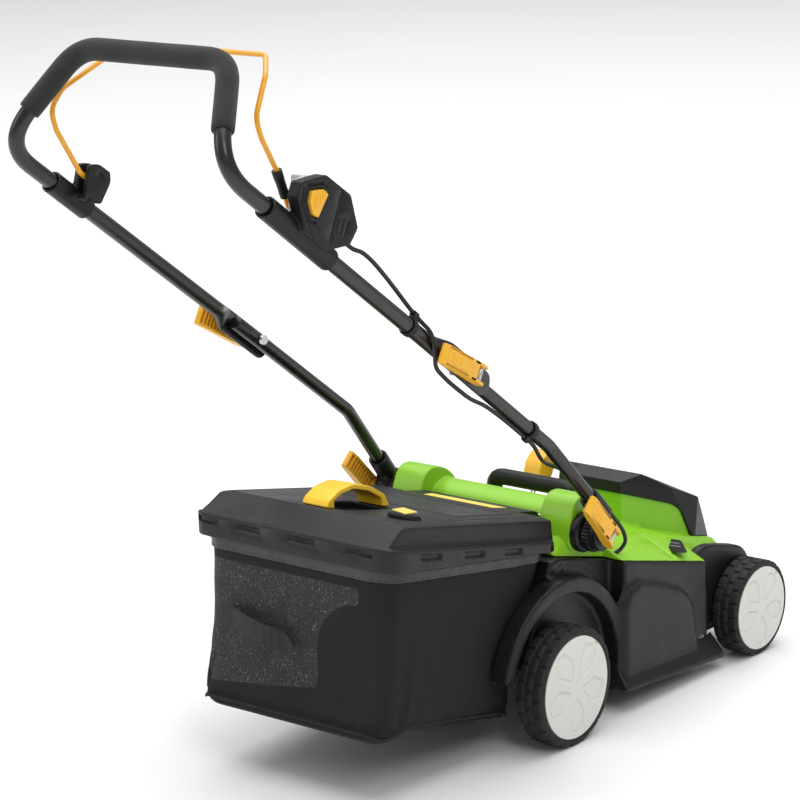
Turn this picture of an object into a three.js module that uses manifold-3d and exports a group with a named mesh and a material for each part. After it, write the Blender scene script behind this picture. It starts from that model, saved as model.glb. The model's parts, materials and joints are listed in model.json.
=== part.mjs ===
// Battery rotary lawn mower with a rear grass bag and a two-part folding push handle.
// Millimetres. +X points forward, +Y to the operator's left, +Z up. The origin lies on the
// ground, below the centre of the machine's bounding box.
import * as THREE from 'three';
import { mergeVertices } from 'three/addons/utils/BufferGeometryUtils.js';
import { ConvexGeometry } from 'three/addons/geometries/ConvexGeometry.js';
import Module from 'manifold-3d';

const wasm = await Module();
wasm.setup();

// ---------------------------------------------------------------- driving dimensions
const GAP = 0.35; // clearance between pieces that touch
const WALL = 3.2; // wall of the moulded covers

const REAR_WHEEL = { x: 42, z: 89 }; // axle centre, and so the wheel radius
const FRONT_WHEEL = { x: 540, z: 76 };
const WHEEL_FACE_Y = 233.4; // outer face of the tyres
const TYRE_WIDTH = 46;
const TREAD_BAND = 12.5; // tyre radius less hub cap radius, rear wheel
const AXLE_R = 5;
const CRANK = { x: 46, z: 11 }; // from a wheel's centre to the pivot of its cranked axle
const LINK_ARM = 52; // arm from the axle's pivot up to the link rod
const LINK_Y = 160;

const DECK_HALF = 205;
const CORE_HALF = 176;
const SEAM = { x: 158, z: 245, slope: -0.258 }; // joint line between deck and upper cover
const CHAMBER = { x: 310, r: 180, roof: 140 };
const MOTOR = { r: 50, z0: 146.6, z1: 222 };
const BLADE = { length: 336, width: 46, thick: 3.6, z: 60 };

const TUBE_R = 11;
const TUBE_WALL = 1.2;
const LOWER_TUBE_R = 10.2;
const HANDLE_Y = 190; // upper handle tube
const LOWER_TUBE_Y = 187;
const UPPER_PIVOT = { x: -154.2, z: 592.4 };
const LOWER_PIVOT = { x: 146, z: 288 };
const REST_SLOPE = -0.74; // the straight stretch of the handle seen from the side
const TUBE_BEND = new THREE.Vector3(43.6, 187, 443.5);
const TUBE_FOOT = new THREE.Vector3(141, 201, 332);
const LOW_BEND = new THREE.Vector3(-625, 190, 940.8);
const GRIP_CORNER = new THREE.Vector3(-535, 131, 1059);
const GRIP_START = LOW_BEND.clone().lerp(GRIP_CORNER, 0.34);
const FOAM_R = 15;
const BAIL_R = 3.5;
const BAIL_PIVOT = { x: -480, z: 868 };
const BAIL_Y = 172;
const CABLE_R = 3;

const LID = { rear: -312, front: 77, half: 185 };
const RIM_TOP = { z: 375, slope: -0.213 }; // at the rear rim
const RIM_LOW = { z: 340, slope: -0.162 };
const RIDGE = { x: -265, z: 397, half: 168, slope: -0.213 };
const BAG_HALF = 170;

const seamZ = (x) => SEAM.z + SEAM.slope * (x - SEAM.x);
const ridgeZ = (x) => RIDGE.z + RIDGE.slope * (x - RIDGE.x);
const rimTopZ = (x) => RIM_TOP.z + RIM_TOP.slope * (x - LID.rear);
const rimLowZ = (x) => RIM_LOW.z + RIM_LOW.slope * (x - LID.rear);

// unit vectors of the handle's straight stretch: down along the tube, and square to it, upwards
const ALONG = new THREE.Vector3(1, 0, REST_SLOPE).normalize();
const ABOVE = new THREE.Vector3(-ALONG.z, 0, ALONG.x);
const onHandle = (s, d, y) =>
  new THREE.Vector3(UPPER_PIVOT.x, y, UPPER_PIVOT.z).addScaledVector(ALONG, s).addScaledVector(ABOVE, d);

// ---------------------------------------------------------------- materials
const plastic = (color, roughness = 0.55) =>
  new THREE.MeshStandardMaterial({ color, roughness, metalness: 0 });
const metal = (color, roughness = 0.35) =>
  new THREE.MeshStandardMaterial({ color, roughness, metalness: 1 });

const BLACK = plastic(0x242426, 0.6);
const GREEN = plastic(0x8fc61e, 0.4);
const HOOD = plastic(0x2c2c2e, 0.45);
const LID_GREY = plastic(0x3c3c3e, 0.55);
const YELLOW = plastic(0xf0b323, 0.45);
const RUBBER = plastic(0x1c1c1d, 0.85);
const FOAM = plastic(0x303032, 0.95);
const HUB = plastic(0xc9ccc6, 0.5);
const PALE = plastic(0xb9bbb8, 0.5);
const FABRIC = plastic(0x18181a, 0.95);
const STEEL = metal(0xb8babd, 0.35);
const PAINTED = metal(0x121213, 0.3);

// ---------------------------------------------------------------- solids from three.js shapes
function solid(geometry) {
  const bare = geometry.index ? geometry.toNonIndexed() : geometry.clone();
  bare.deleteAttribute('normal');
  bare.deleteAttribute('uv');
  const merged = mergeVertices(bare, 1e-4);
  const triVerts = new Uint32Array(merged.index.array);
  const vertProperties = new Float32Array(merged.attributes.position.array);
  const made = new wasm.Manifold(new wasm.Mesh({ numProp: 3, vertProperties, triVerts }));
  if (made.volume() > 0) return made;
  const turnedOver = triVerts.map((_, i) => triVerts[i - (i % 3) + 2 - (i % 3)]);
  return new wasm.Manifold(new wasm.Mesh({ numProp: 3, vertProperties, triVerts: turnedOver }));
}

function toGeometry(manifold) {
  const mesh = manifold.getMesh();
  const geometry = new THREE.BufferGeometry();
  geometry.setAttribute('position', new THREE.BufferAttribute(mesh.vertProperties, 3));
  geometry.setIndex(new THREE.BufferAttribute(mesh.triVerts, 1));
  geometry.computeVertexNormals();
  return geometry;
}

const unite = (...solids) => solids.reduce((a, b) => a.add(b));
const cut = (base, ...tools) => tools.reduce((a, b) => a.subtract(b), base);

function shapeOf(points, round = 0) {
  const shape = new THREE.Shape();
  const corner = points.map((p) => new THREE.Vector2(p[0], p[1]));
  if (round === 0) return shape.setFromPoints(corner);
  corner.forEach((here, i) => {
    const before = corner.at(i - 1);
    const after = corner[(i + 1) % corner.length];
    const reach = (other) => Math.min(round, here.distanceTo(other) * 0.48);
    const from = here.clone().lerp(before, reach(before) / here.distanceTo(before));
    const to = here.clone().lerp(after, reach(after) / here.distanceTo(after));
    if (i === 0) shape.moveTo(from.x, from.y);
    else shape.lineTo(from.x, from.y);
    shape.quadraticCurveTo(here.x, here.y, to.x, to.y);
  });
  return shape;
}

function prism(points, depth, round, curveSegments) {
  return new THREE.ExtrudeGeometry(shapeOf(points, round), { depth, bevelEnabled: false, curveSegments });
}

// an outline of (x, z) points between y0 and y1
function sideProfile(points, y0, y1, round = 0, curveSegments = 3) {
  const geometry = prism(points, y1 - y0, round, curveSegments);
  return solid(geometry.rotateX(Math.PI / 2).translate(0, y1, 0));
}

// an outline of (y, z) points between x0 and x1
function crossProfile(points, x0, x1, round = 0, curveSegments = 3) {
  const turn = new THREE.Matrix4().makeBasis(
    new THREE.Vector3(0, 1, 0),
    new THREE.Vector3(0, 0, 1),
    new THREE.Vector3(1, 0, 0),
  );
  return solid(prism(points, x1 - x0, round, curveSegments).applyMatrix4(turn).translate(x0, 0, 0));
}

function block(x0, x1, y0, y1, z0, z1) {
  const geometry = new THREE.BoxGeometry(x1 - x0, y1 - y0, z1 - z0);
  return solid(geometry.translate((x0 + x1) / 2, (y0 + y1) / 2, (z0 + z1) / 2));
}

function hull(points) {
  return solid(new ConvexGeometry(points.map((p) => new THREE.Vector3(...p))));
}

// the same points on both sides of the middle plane
const mirrored = (points) => points.flatMap(([x, y, z]) => [[x, y, z], [x, -y, z]]);

function inflate(points, amount) {
  const middle = new THREE.Box3().setFromPoints(points.map((p) => new THREE.Vector3(...p)));
  const centre = middle.getCenter(new THREE.Vector3());
  return points.map((p) => {
    const away = new THREE.Vector3(...p).sub(centre);
    const grown = away.clone().setLength(away.length() + amount * 1.4);
    return grown.add(centre).toArray();
  });
}

function rod(from, to, radius, segments = 16) {
  const axis = new THREE.Vector3().subVectors(to, from);
  const geometry = new THREE.CylinderGeometry(radius, radius, axis.length(), segments);
  geometry.translate(0, axis.length() / 2, 0);
  const turn = new THREE.Quaternion().setFromUnitVectors(new THREE.Vector3(0, 1, 0), axis.normalize());
  return solid(geometry.applyQuaternion(turn).translate(from.x, from.y, from.z));
}

const along = (x, z, y0, y1, radius, segments) =>
  rod(new THREE.Vector3(x, y0, z), new THREE.Vector3(x, y1, z), radius, segments);
const upright = (x, y, z0, z1, radius, segments) =>
  rod(new THREE.Vector3(x, y, z0), new THREE.Vector3(x, y, z1), radius, segments);

// points along straight runs whose corners are rounded by the radius given for each
function bentPath(points, radii, steps = 4) {
  const path = [points[0]];
  for (let i = 1; i < points.length - 1; i++) {
    const back = new THREE.Vector3().subVectors(points[i - 1], points[i]).normalize();
    const ahead = new THREE.Vector3().subVectors(points[i + 1], points[i]).normalize();
    const tangent = radii[i - 1] / Math.tan(back.angleTo(ahead) / 2);
    const enter = points[i].clone().addScaledVector(back, tangent);
    const leave = points[i].clone().addScaledVector(ahead, tangent);
    path.push(...new THREE.QuadraticBezierCurve3(enter, points[i], leave).getPoints(steps));
  }
  return [...path, points.at(-1)];
}

// one ring of points round each point of the path, turned as little as possible from the last
function tubeGeometry(path, radius, sides) {
  const heading = (a, b) => new THREE.Vector3().subVectors(path[b], path[a]).normalize();
  const last = path.length - 1;
  const normal = new THREE.Vector3(0.21, 0.43, 0.88).cross(heading(0, 1)).normalize();
  const vertices = [];
  let tangent = heading(0, 1);
  path.forEach((centre, i) => {
    const next = i === 0 || i === last ? heading(Math.max(i - 1, 0), Math.min(i + 1, last)) : heading(i - 1, i);
    if (i > 0 && i < last) next.add(heading(i, i + 1)).normalize();
    normal.applyQuaternion(new THREE.Quaternion().setFromUnitVectors(tangent, next));
    tangent = next;
    for (let k = 0; k < sides; k++) {
      const arm = normal.clone().applyAxisAngle(tangent, (k * 2 * Math.PI) / sides);
      vertices.push(...centre.clone().addScaledVector(arm, radius).toArray());
    }
  });
  const index = [];
  for (let i = 0; i < last; i++) {
    for (let k = 0; k < sides; k++) {
      const a = i * sides + k;
      const b = i * sides + ((k + 1) % sides);
      index.push(a, b, b + sides, a, b + sides, a + sides);
    }
  }
  for (let k = 1; k < sides - 1; k++) {
    index.push(0, k + 1, k);
    index.push(last * sides, last * sides + k, last * sides + k + 1);
  }
  const geometry = new THREE.BufferGeometry();
  geometry.setAttribute('position', new THREE.Float32BufferAttribute(vertices, 3));
  return geometry.setIndex(index);
}

function sweep(path, radius, sides = 12, bore = 0) {
  const outer = solid(tubeGeometry(path, radius, sides));
  if (bore === 0) return outer;
  const extend = (end, next) => end.clone().add(end.clone().sub(next).setLength(0.5));
  const inside = [extend(path[0], path[1]), ...path.slice(1, -1), extend(path.at(-1), path.at(-2))];
  return outer.subtract(solid(tubeGeometry(inside, bore, sides)));
}

// a profile of (radius, y) points turned about the Y axis through (x, z)
function turned(profile, x, z, segments = 24) {
  const points = profile.map(([r, y]) => new THREE.Vector2(r, y));
  return solid(new THREE.LatheGeometry(points, segments).translate(x, 0, z));
}

const flipY = (s) => s.mirror([0, 1, 0]);

// ---------------------------------------------------------------- the assembly
const mower = new THREE.Group();
mower.name = 'lawn_mower';

function add(name, part, material) {
  const mesh = new THREE.Mesh(toGeometry(part), material.clone());
  mesh.name = name;
  mower.add(mesh);
}

// made for the left side, and mirrored for the right
function addPair(name, part, material) {
  add(`${name}_left`, part, material);
  add(`${name}_right`, flipY(part), material);
}

// ---------------------------------------------------------------- upper cover: outer form
const TOWER = mirrored([
  [404, 62, 205],
  [408, 56, 283],
  [436, 34, 290],
  [446, 70, 289],
  [480, 98, 264],
  [509, 124, 180],
  [545, 105, 236],
  [560, 104, 204],
  [574, 110, 150],
  [590, 60, 200],
  [598, 78, 148],
]);

function coverForm(lift) {
  const ledge = hull(
    mirrored([
      [205, 203, seamZ(205) + lift],
      [428, 203, seamZ(428) + lift],
      [205, 140, seamZ(205) + 30],
      [428, 140, seamZ(428) + 30],
      [205, 60, seamZ(205) + 42],
      [428, 60, seamZ(428) + 38],
      [205, 20, seamZ(205) + lift],
      [428, 20, seamZ(428) + lift],
    ]),
  );
  const nose = hull(
    mirrored([
      [420, 156, seamZ(420) + lift],
      [570, 156, seamZ(570) + lift],
      [598, 120, seamZ(598) + lift],
      [420, 135, seamZ(420) + 30],
      [560, 126, seamZ(560) + 28],
      [592, 90, seamZ(592) + 20],
    ]),
  );
  const tail = hull(
    mirrored([
      [84, 166, seamZ(84) + lift],
      [215, 166, seamZ(215) + lift],
      [84, 150, seamZ(84) + 14],
      [140, 150, seamZ(140) + 36],
      [215, 140, seamZ(215) + 30],
    ]),
  );
  return unite(ledge, nose, tail, hull(TOWER));
}

const crossbarProfile = [
  [146, 262],
  [147, 303],
  [156, 313],
  [181, 320],
  [202, 314],
  [216, 296],
  [218, 250],
];
const bossProfile = [
  [116, 262],
  [119, 306],
  [134, 338],
  [160, 343],
  [192, 330],
  [214, 306],
  [224, 256],
];
const BOSS = { inner: 112, outer: 168 };
const BAY = { x0: 450, x1: 546, half: 78, floor: 190 };
const LEVER_SLOT = { x0: 366, x1: 424, y0: 105, y1: 119 };

function upperCover() {
  const outer = coverForm(GAP);
  const narrower = outer.scale([0.974, 0.957, 1]).translate([9, 0, 0]);
  const inner = outer
    .translate([0, 0, -WALL])
    .intersect(unite(narrower, narrower.translate([0, 0, -WALL])));
  const crossbar = sideProfile(crossbarProfile, -BOSS.inner - 2, BOSS.inner + 2, 9);
  const boss = sideProfile(bossProfile, BOSS.inner, BOSS.outer, 16, 4);
  const tray = block(BAY.x0 - 14, BAY.x1 + 14, -125, 125, BAY.floor - 4, BAY.floor).intersect(outer);
  const bolt = along(LOWER_PIVOT.x, LOWER_PIVOT.z, 138, 172, 4.4);
  const flapPin = along(FLAP_PIN.x, FLAP_PIN.z, 0, 117, 2.9, 12);
  return cut(
    unite(cut(outer, inner), crossbar, boss, flipY(boss), tray),
    block(BAY.x0, BAY.x1, -BAY.half, BAY.half, BAY.floor, 320),
    block(LEVER_SLOT.x0, LEVER_SLOT.x1, LEVER_SLOT.y0, LEVER_SLOT.y1, 150, 260),
    bolt,
    flipY(bolt),
    flapPin,
    flipY(flapPin),
    cableSolid(0.85, 1, CABLE_R + GAP),
  );
}

function batteryCover() {
  const below = [
    [360, 0],
    [360, 279],
    [408, 266],
    [481, 239],
    [493, 228],
    [504, 181],
    [512, 151],
    [595.5, 151],
    [595.5, 148],
    [640, 148],
    [640, 0],
  ];
  return cut(
    hull(inflate(TOWER, 3.4)),
    hull(inflate(TOWER, 0.5)),
    sideProfile(below, -200, 200, 5),
    coverForm(GAP).translate([0, 0, GAP + 0.1]),
  );
}

// ---------------------------------------------------------------- deck
function wheelArch() {
  const centre = { x: 62, z: 89 };
  const ring = cut(
    along(centre.x, centre.z, CORE_HALF - 4, 203, 152, 32),
    along(centre.x, centre.z, CORE_HALF - 10, 210, 129, 28),
  );
  return cut(ring, block(-120, 120, 160, 215, -80, 122), block(100, 240, 160, 215, -80, 36));
}

function frontTower() {
  return sideProfile(
    [
      [434, 56],
      [427, 172],
      [440, 190],
      [468, 190],
      [562, 165],
      [584, 140],
      [590, 60],
    ],
    158,
    184,
    14,
  );
}

function skirt() {
  return hull([
    [190, 200, 70],
    [446, 200, 58],
    [184, 223, 42],
    [184, 223, 36],
    [450, 223, 24],
    [458, 218, 14],
    [184, 196, 36],
    [450, 196, 14],
  ]);
}

function chamberBulge() {
  const face = [
    [200, 158],
    [212, 184],
    [238, 190],
    [294, 172],
    [344, 152],
    [366, 134],
    [378, 112],
    [388, 52],
    [202, 60],
  ];
  const foot = [
    [188, 164],
    [203, 193],
    [237, 199],
    [293, 180],
    [347, 158],
    [372, 139],
    [388, 116],
    [400, 44],
    [188, 50],
  ];
  const ring = (outline, y) => outline.map(([x, z]) => [x, y, z]);
  return hull([...ring(foot, 200), ...ring(face, 214)]);
}

function deckShell() {
  const core = sideProfile(
    [
      [-4, 112],
      [-4, 124],
      [60, 262],
      [84, 263],
      [598, seamZ(598)],
      [604, 112],
      [604, 62],
      [590, 44],
      [140, 44],
      [140, 100],
      [112, 112],
    ],
    -CORE_HALF,
    CORE_HALF,
  );
  const flank = sideProfile(
    [
      [206, seamZ(206)],
      [426, seamZ(426)],
      [430, 60],
      [212, 60],
      [206, 140],
    ],
    CORE_HALF - 2,
    DECK_HALF,
  );
  const side = unite(flank, wheelArch(), frontTower(), skirt(), chamberBulge());
  const roof = new THREE.CylinderGeometry(CHAMBER.r - 40, CHAMBER.r, 22, 40).rotateX(Math.PI / 2);
  const chamber = unite(
    upright(CHAMBER.x, 0, -5, CHAMBER.roof - 22, CHAMBER.r, 40),
    solid(roof.translate(CHAMBER.x, 0, CHAMBER.roof - 11)),
  );
  const shaftHole = upright(CHAMBER.x, 0, 130, 160, 10, 20);
  const chute = sideProfile(
    [
      [-20, 119],
      [100, 119],
      [150, 60],
      [220, 60],
      [220, 139],
      [178, 168],
      [140, 205],
      [58, 252],
      [40, 300],
      [-60, 300],
    ],
    -115,
    115,
  );
  const motorWell = sideProfile(
    [
      [190, 146],
      [500, 146],
      [500, 300],
      [150, 300],
      [150, 216],
      [184, 178],
    ],
    -166,
    166,
  );
  const frontHollow = block(498, 598, -170, 170, -5, 102);
  const frontAxleWay = block(520, 600, -200, 200, -5, 110);
  const rearAxleWay = block(16, 112, -200, 200, 60, 112 + GAP);
  const rodWay = sideProfile(
    [
      [72, 139],
      [598, 125],
      [598, 172],
      [72, 172],
    ],
    LINK_Y - 6,
    LINK_Y + 7,
  );
  const armWayRear = block(70, 108, LINK_Y - 7, LINK_Y + 7, 90, 172);
  const armWayFront = block(566, 600, LINK_Y - 7, LINK_Y + 7, 60, 160);
  const under = sideProfile(
    [
      [2, -5],
      [2, 126],
      [64, 257],
      [84, 258],
      [146, 243],
      [146, 214],
      [180, 176],
      [186, CHAMBER.roof],
      [504, CHAMBER.roof],
      [504, 151],
      [598, 127],
      [598, -5],
    ],
    -CORE_HALF + WALL,
    CORE_HALF - WALL,
  );
  const underSide = sideProfile(
    [
      [210, -5],
      [210, 205],
      [216, 226],
      [422, 172],
      [426, -5],
    ],
    CORE_HALF - 6,
    DECK_HALF - WALL,
  );
  const chamberWall = upright(CHAMBER.x, 0, -5, CHAMBER.roof + 6, CHAMBER.r + WALL, 40);
  const chuteWall = block(-20, 220, -115 - WALL, 115 + WALL, 100, 300);
  const hollow = cut(unite(under, underSide, flipY(underSide)), chamberWall, chuteWall);
  return cut(
    unite(core, side, flipY(side)),
    hollow,
    chamber,
    shaftHole,
    chute,
    motorWell,
    frontHollow,
    frontAxleWay,
    rearAxleWay,
    rodWay,
    armWayRear,
    armWayFront,
  );
}

// ---------------------------------------------------------------- drive
function motorCan() {
  return unite(
    upright(CHAMBER.x, 0, MOTOR.z0, MOTOR.z1, MOTOR.r, 24),
    upright(CHAMBER.x, 0, MOTOR.z1 - 1, MOTOR.z1 + 5, MOTOR.r * 0.6, 16),
    block(CHAMBER.x - 62, CHAMBER.x + 62, -14, 14, MOTOR.z0, MOTOR.z0 + 5),
  );
}

function motorShaft() {
  return unite(
    cut(upright(CHAMBER.x, 0, 62, 68, 24, 20), upright(CHAMBER.x, 0, 60, 70, 4.4, 12)),
    cut(upright(CHAMBER.x, 0, 66, 146.2, 7, 12), upright(CHAMBER.x, 0, 60, 84, 4.4, 12)),
  );
}

function blade() {
  const half = BLADE.length / 2;
  const top = BLADE.z + 1.6;
  const low = top - BLADE.thick;
  const bar = block(CHAMBER.x - half, CHAMBER.x + half, -BLADE.width / 2, BLADE.width / 2, low, top);
  const lift = (sign) =>
    hull([
      [CHAMBER.x + sign * half, sign * 8, low],
      [CHAMBER.x + sign * (half - 70), sign * 8, low],
      [CHAMBER.x + sign * half, sign * 8, top],
      [CHAMBER.x + sign * (half - 70), sign * 8, top],
      [CHAMBER.x + sign * half, sign * 23, top + 12],
      [CHAMBER.x + sign * (half - 55), sign * 23, top + 12],
      [CHAMBER.x + sign * half, sign * 23, low + 12],
      [CHAMBER.x + sign * (half - 55), sign * 23, low + 12],
    ]);
  return cut(unite(bar, lift(1), lift(-1)), upright(CHAMBER.x, 0, 40, 80, 4.5, 16));
}

function bladeBolt() {
  const head = BLADE.z + 1.6 - BLADE.thick - GAP;
  return unite(
    upright(CHAMBER.x, 0, head - 6, head, 8, 6),
    upright(CHAMBER.x, 0, head - 1, 82, 4, 16),
  );
}

// ---------------------------------------------------------------- running gear
function tyre(wheel, cap) {
  const outer = WHEEL_FACE_Y;
  const inner = WHEEL_FACE_Y - TYRE_WIDTH;
  const r = wheel.z;
  return turned(
    [
      [cap - 7, inner + 1],
      [cap - 7, outer - 4.8],
      [cap + 0.6, outer - 4.8],
      [cap + 0.6, outer],
      [r - 3, outer],
      [r, outer - 4],
      [r, inner + 4],
      [r - 3, inner],
      [cap, inner],
      [cap - 7, inner + 1],
    ],
    wheel.x,
    wheel.z,
  );
}

function hub(wheel, cap) {
  const face = WHEEL_FACE_Y + 1;
  const inner = WHEEL_FACE_Y - TYRE_WIDTH + 2;
  const rim = cap - 7 - GAP;
  return turned(
    [
      [0, face],
      [cap - 2, face],
      [cap, face - 5.4],
      [rim, face - 5.4],
      [rim, inner],
      [rim - 3.5, inner],
      [rim - 3.5, face - 9],
      [17, face - 9],
      [17, inner + 2],
      [AXLE_R + GAP, inner + 2],
      [AXLE_R + GAP, face - 6],
      [0, face - 6],
    ].reverse(),
    wheel.x,
    wheel.z,
  );
}

// the axle is a cranked rod: turning it in the deck raises or lowers its pair of wheels
function crankedAxle(wheel) {
  const pivot = { x: wheel.x + CRANK.x, z: wheel.z + CRANK.z };
  const half = (side) => [
    new THREE.Vector3(wheel.x, side * 226, wheel.z),
    new THREE.Vector3(wheel.x, side * 180, wheel.z),
    new THREE.Vector3(pivot.x, side * 168, pivot.z),
  ];
  const path = bentPath([...half(1), ...half(-1).reverse()], [5, 9, 9, 5]);
  const arm = sideProfile(
    [
      [pivot.x - 5, pivot.z - 2],
      [pivot.x + 5, pivot.z - 2],
      [pivot.x + 4, pivot.z + LINK_ARM - 5],
      [pivot.x - 4, pivot.z + LINK_ARM - 5],
    ],
    LINK_Y - 5,
    LINK_Y - 1,
  );
  return unite(sweep(path, AXLE_R, 8), arm);
}

const linkEnd = (wheel) =>
  new THREE.Vector3(wheel.x + CRANK.x, LINK_Y + 2.4, wheel.z + CRANK.z + LINK_ARM - 9);

function linkRod() {
  return rod(linkEnd(REAR_WHEEL), linkEnd(FRONT_WHEEL), 3, 10);
}

const LEVER_PIVOT = { x: 354, z: 158 };
const LEVER_TIP = { x: 416, z: 259 };
function heightLever() {
  const from = new THREE.Vector3(LEVER_PIVOT.x, 112, LEVER_PIVOT.z);
  const to = new THREE.Vector3(LEVER_TIP.x, 112, LEVER_TIP.z);
  return unite(rod(from, to, 4, 12), along(LEVER_PIVOT.x, LEVER_PIVOT.z, 106, 118, 8, 20));
}

function heightKnob() {
  const grip = sideProfile(
    [
      [402, 262],
      [424, 253],
      [438, 262],
      [452, 292],
      [446, 304],
      [428, 305],
      [410, 290],
    ],
    98,
    130,
    8,
  );
  const from = new THREE.Vector3(LEVER_PIVOT.x, 112, LEVER_PIVOT.z);
  const to = new THREE.Vector3(LEVER_TIP.x, 112, LEVER_TIP.z);
  const bore = rod(from, to.clone().addScaledVector(to.clone().sub(from).normalize(), GAP), 4.35, 12);
  return cut(grip, bore);
}

// ---------------------------------------------------------------- rear flap
const FLAP_PIN = { x: 138, z: 303 };
const FLAP_HALF = 104;
const flapZ = (x) => ridgeZ(x) - 0.5;

function rearFlap() {
  const plate = sideProfile(
    [
      [136, 306.5],
      [136, 301],
      [118, flapZ(118) - 3.4],
      [60, flapZ(60) - 3.4],
      [57, flapZ(57) - 1],
      [60, flapZ(60)],
      [122, flapZ(122)],
    ],
    -FLAP_HALF,
    FLAP_HALF,
  );
  const knuckle = along(FLAP_PIN.x, FLAP_PIN.z, -92, FLAP_HALF, 5.2, 16);
  const springRoom = block(130, 150, -FLAP_HALF - 5, -90, 290, 312);
  return cut(unite(plate, knuckle), along(FLAP_PIN.x, FLAP_PIN.z, -120, 120, 2.85, 12), springRoom);
}

function flapSpring() {
  const profile = [
    [3.2, -101],
    [3.2, -92.4],
    [5, -92.4],
    [5, -101],
    [3.2, -101],
  ].reverse();
  return turned(profile, FLAP_PIN.x, FLAP_PIN.z, 20);
}

// ---------------------------------------------------------------- handle
const lowerTubePath = () => {
  const top = onHandle(-55, 0, LOWER_TUBE_Y);
  return bentPath([top, TUBE_BEND, TUBE_FOOT], [70], 3);
};

function lowerTube() {
  const tube = sweep(lowerTubePath(), LOWER_TUBE_R, 10, LOWER_TUBE_R - TUBE_WALL);
  return cut(tube, along(UPPER_PIVOT.x, UPPER_PIVOT.z, 160, 215, 4.4, 12));
}

function tubeSocket() {
  const up = new THREE.Vector3().subVectors(TUBE_BEND, TUBE_FOOT).normalize();
  const mouth = TUBE_FOOT.clone().addScaledVector(up, 24);
  const base = TUBE_FOOT.clone().addScaledVector(up, -16);
  const disc = along(LOWER_PIVOT.x, LOWER_PIVOT.z, 186.6, 211, 23, 20);
  const neck = hull([
    ...[-14, 14].flatMap((d) => [
      [LOWER_PIVOT.x + d, 189, LOWER_PIVOT.z + 8],
      [LOWER_PIVOT.x + d, 211, LOWER_PIVOT.z + 8],
      [base.x + d, 190, base.z + 6],
      [base.x + d, 212, base.z + 6],
    ]),
  ]);
  const end = TUBE_FOOT.clone().addScaledVector(up, -GAP);
  return cut(
    unite(disc, neck, rod(base, mouth, 15.5, 14)),
    rod(end, mouth.clone().addScaledVector(up, 5), LOWER_TUBE_R + 0.7, 12),
    along(LOWER_PIVOT.x, LOWER_PIVOT.z, 180, 220, 4.4, 12),
  );
}

function handleMount() {
  const profile = [
    [4.4, 168.4],
    [30, 168.4],
    [30, 179],
    [26, 183],
    [20, 183],
    [19, 186.2],
    [4.4, 186.2],
    [4.4, 168.4],
  ];
  return turned(profile.reverse(), LOWER_PIVOT.x, LOWER_PIVOT.z, 20);
}

// a cam lever lies along `direction` from a barrel at the end of its bolt
const leverDirection = (x, z) => new THREE.Vector3(x, 0, z).normalize();
const UPPER_LEVER = { pivot: UPPER_PIVOT, y: 218, dir: leverDirection(-0.87, 0.49), length: 98 };
const LOWER_LEVER = { pivot: LOWER_PIVOT, y: 223.5, dir: leverDirection(-0.68, 0.733), length: 92 };

function leverFrame({ pivot, y, dir }) {
  const across = new THREE.Vector3().crossVectors(dir, new THREE.Vector3(0, 1, 0));
  const place = new THREE.Matrix4().makeBasis(dir, new THREE.Vector3(0, 1, 0), across);
  return place.setPosition(pivot.x, y, pivot.z);
}

function camLever(lever) {
  const width = 28;
  const outline = [
    [-11, -5],
    [-6, -9.6],
    [9, -9.6],
    [30, -6],
    [lever.length - 16, -4],
    [lever.length - 3, 0],
    [lever.length, 5],
    [lever.length - 6, 9],
    [30, 9.5],
    [4, 9.5],
    [-9, 6],
  ];
  const body = prism(outline, width, 4, 1).translate(0, 0, -width / 2);
  const fork = new THREE.BoxGeometry(32, 40, 11).translate(-2, 0, 0);
  const hole = new THREE.CylinderGeometry(4.4, 4.4, width + 4, 12).rotateX(Math.PI / 2);
  const frame = leverFrame(lever);
  return cut(
    solid(body.applyMatrix4(frame)),
    solid(fork.applyMatrix4(frame)),
    solid(hole.applyMatrix4(frame)),
  );
}

function clampBolt(lever, inner, headRadius) {
  const { pivot, y } = lever;
  const barrel = new THREE.CylinderGeometry(4, 4, 24, 12).rotateX(Math.PI / 2);
  const shank = along(pivot.x, pivot.z, inner, y, 4, 12);
  const bolt = unite(shank, solid(barrel.applyMatrix4(leverFrame(lever))));
  return headRadius > 0 ? unite(bolt, along(pivot.x, pivot.z, inner - 4, inner + 0.5, headRadius, 20)) : bolt;
}

// half of the U-shaped upper handle, from the joint to the middle of the grip
const gripMiddle = new THREE.Vector3(GRIP_CORNER.x, 0, GRIP_CORNER.z);
const mirror = (v) => new THREE.Vector3(v.x, -v.y, v.z);
const upperHalf = () => [onHandle(-96, 0, HANDLE_Y), LOW_BEND, GRIP_CORNER];

function upperPath() {
  const left = upperHalf();
  const right = left.map(mirror).reverse();
  return bentPath([...left, ...right], [58, 52, 52, 58], 5);
}

function flattenedEnd() {
  const ring = Array.from({ length: 14 }, (_, i) => (i * Math.PI * 2) / 14);
  const round = ring.map((a) => onHandle(-97, TUBE_R * Math.sin(a), HANDLE_Y + TUBE_R * Math.cos(a)));
  const flat = [-17, -9, 9, 17].flatMap((d) => [onHandle(-56, d, 200.6), onHandle(-56, d, 205.4)]);
  const taper = hull([...round, ...flat].map((p) => p.toArray()));
  const outline = [
    [-57, -17],
    [40, -17],
    [46, -10],
    [46, 10],
    [40, 17],
    [-57, 17],
  ].map(([s, d]) => {
    const p = onHandle(s, d, 0);
    return [p.x, p.z];
  });
  const room = rod(onHandle(-57, 0, LOWER_TUBE_Y), onHandle(60, 0, LOWER_TUBE_Y), TUBE_R + 1, 20);
  return cut(unite(taper, sideProfile(outline, 200.6, 205.4)), room);
}

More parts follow.
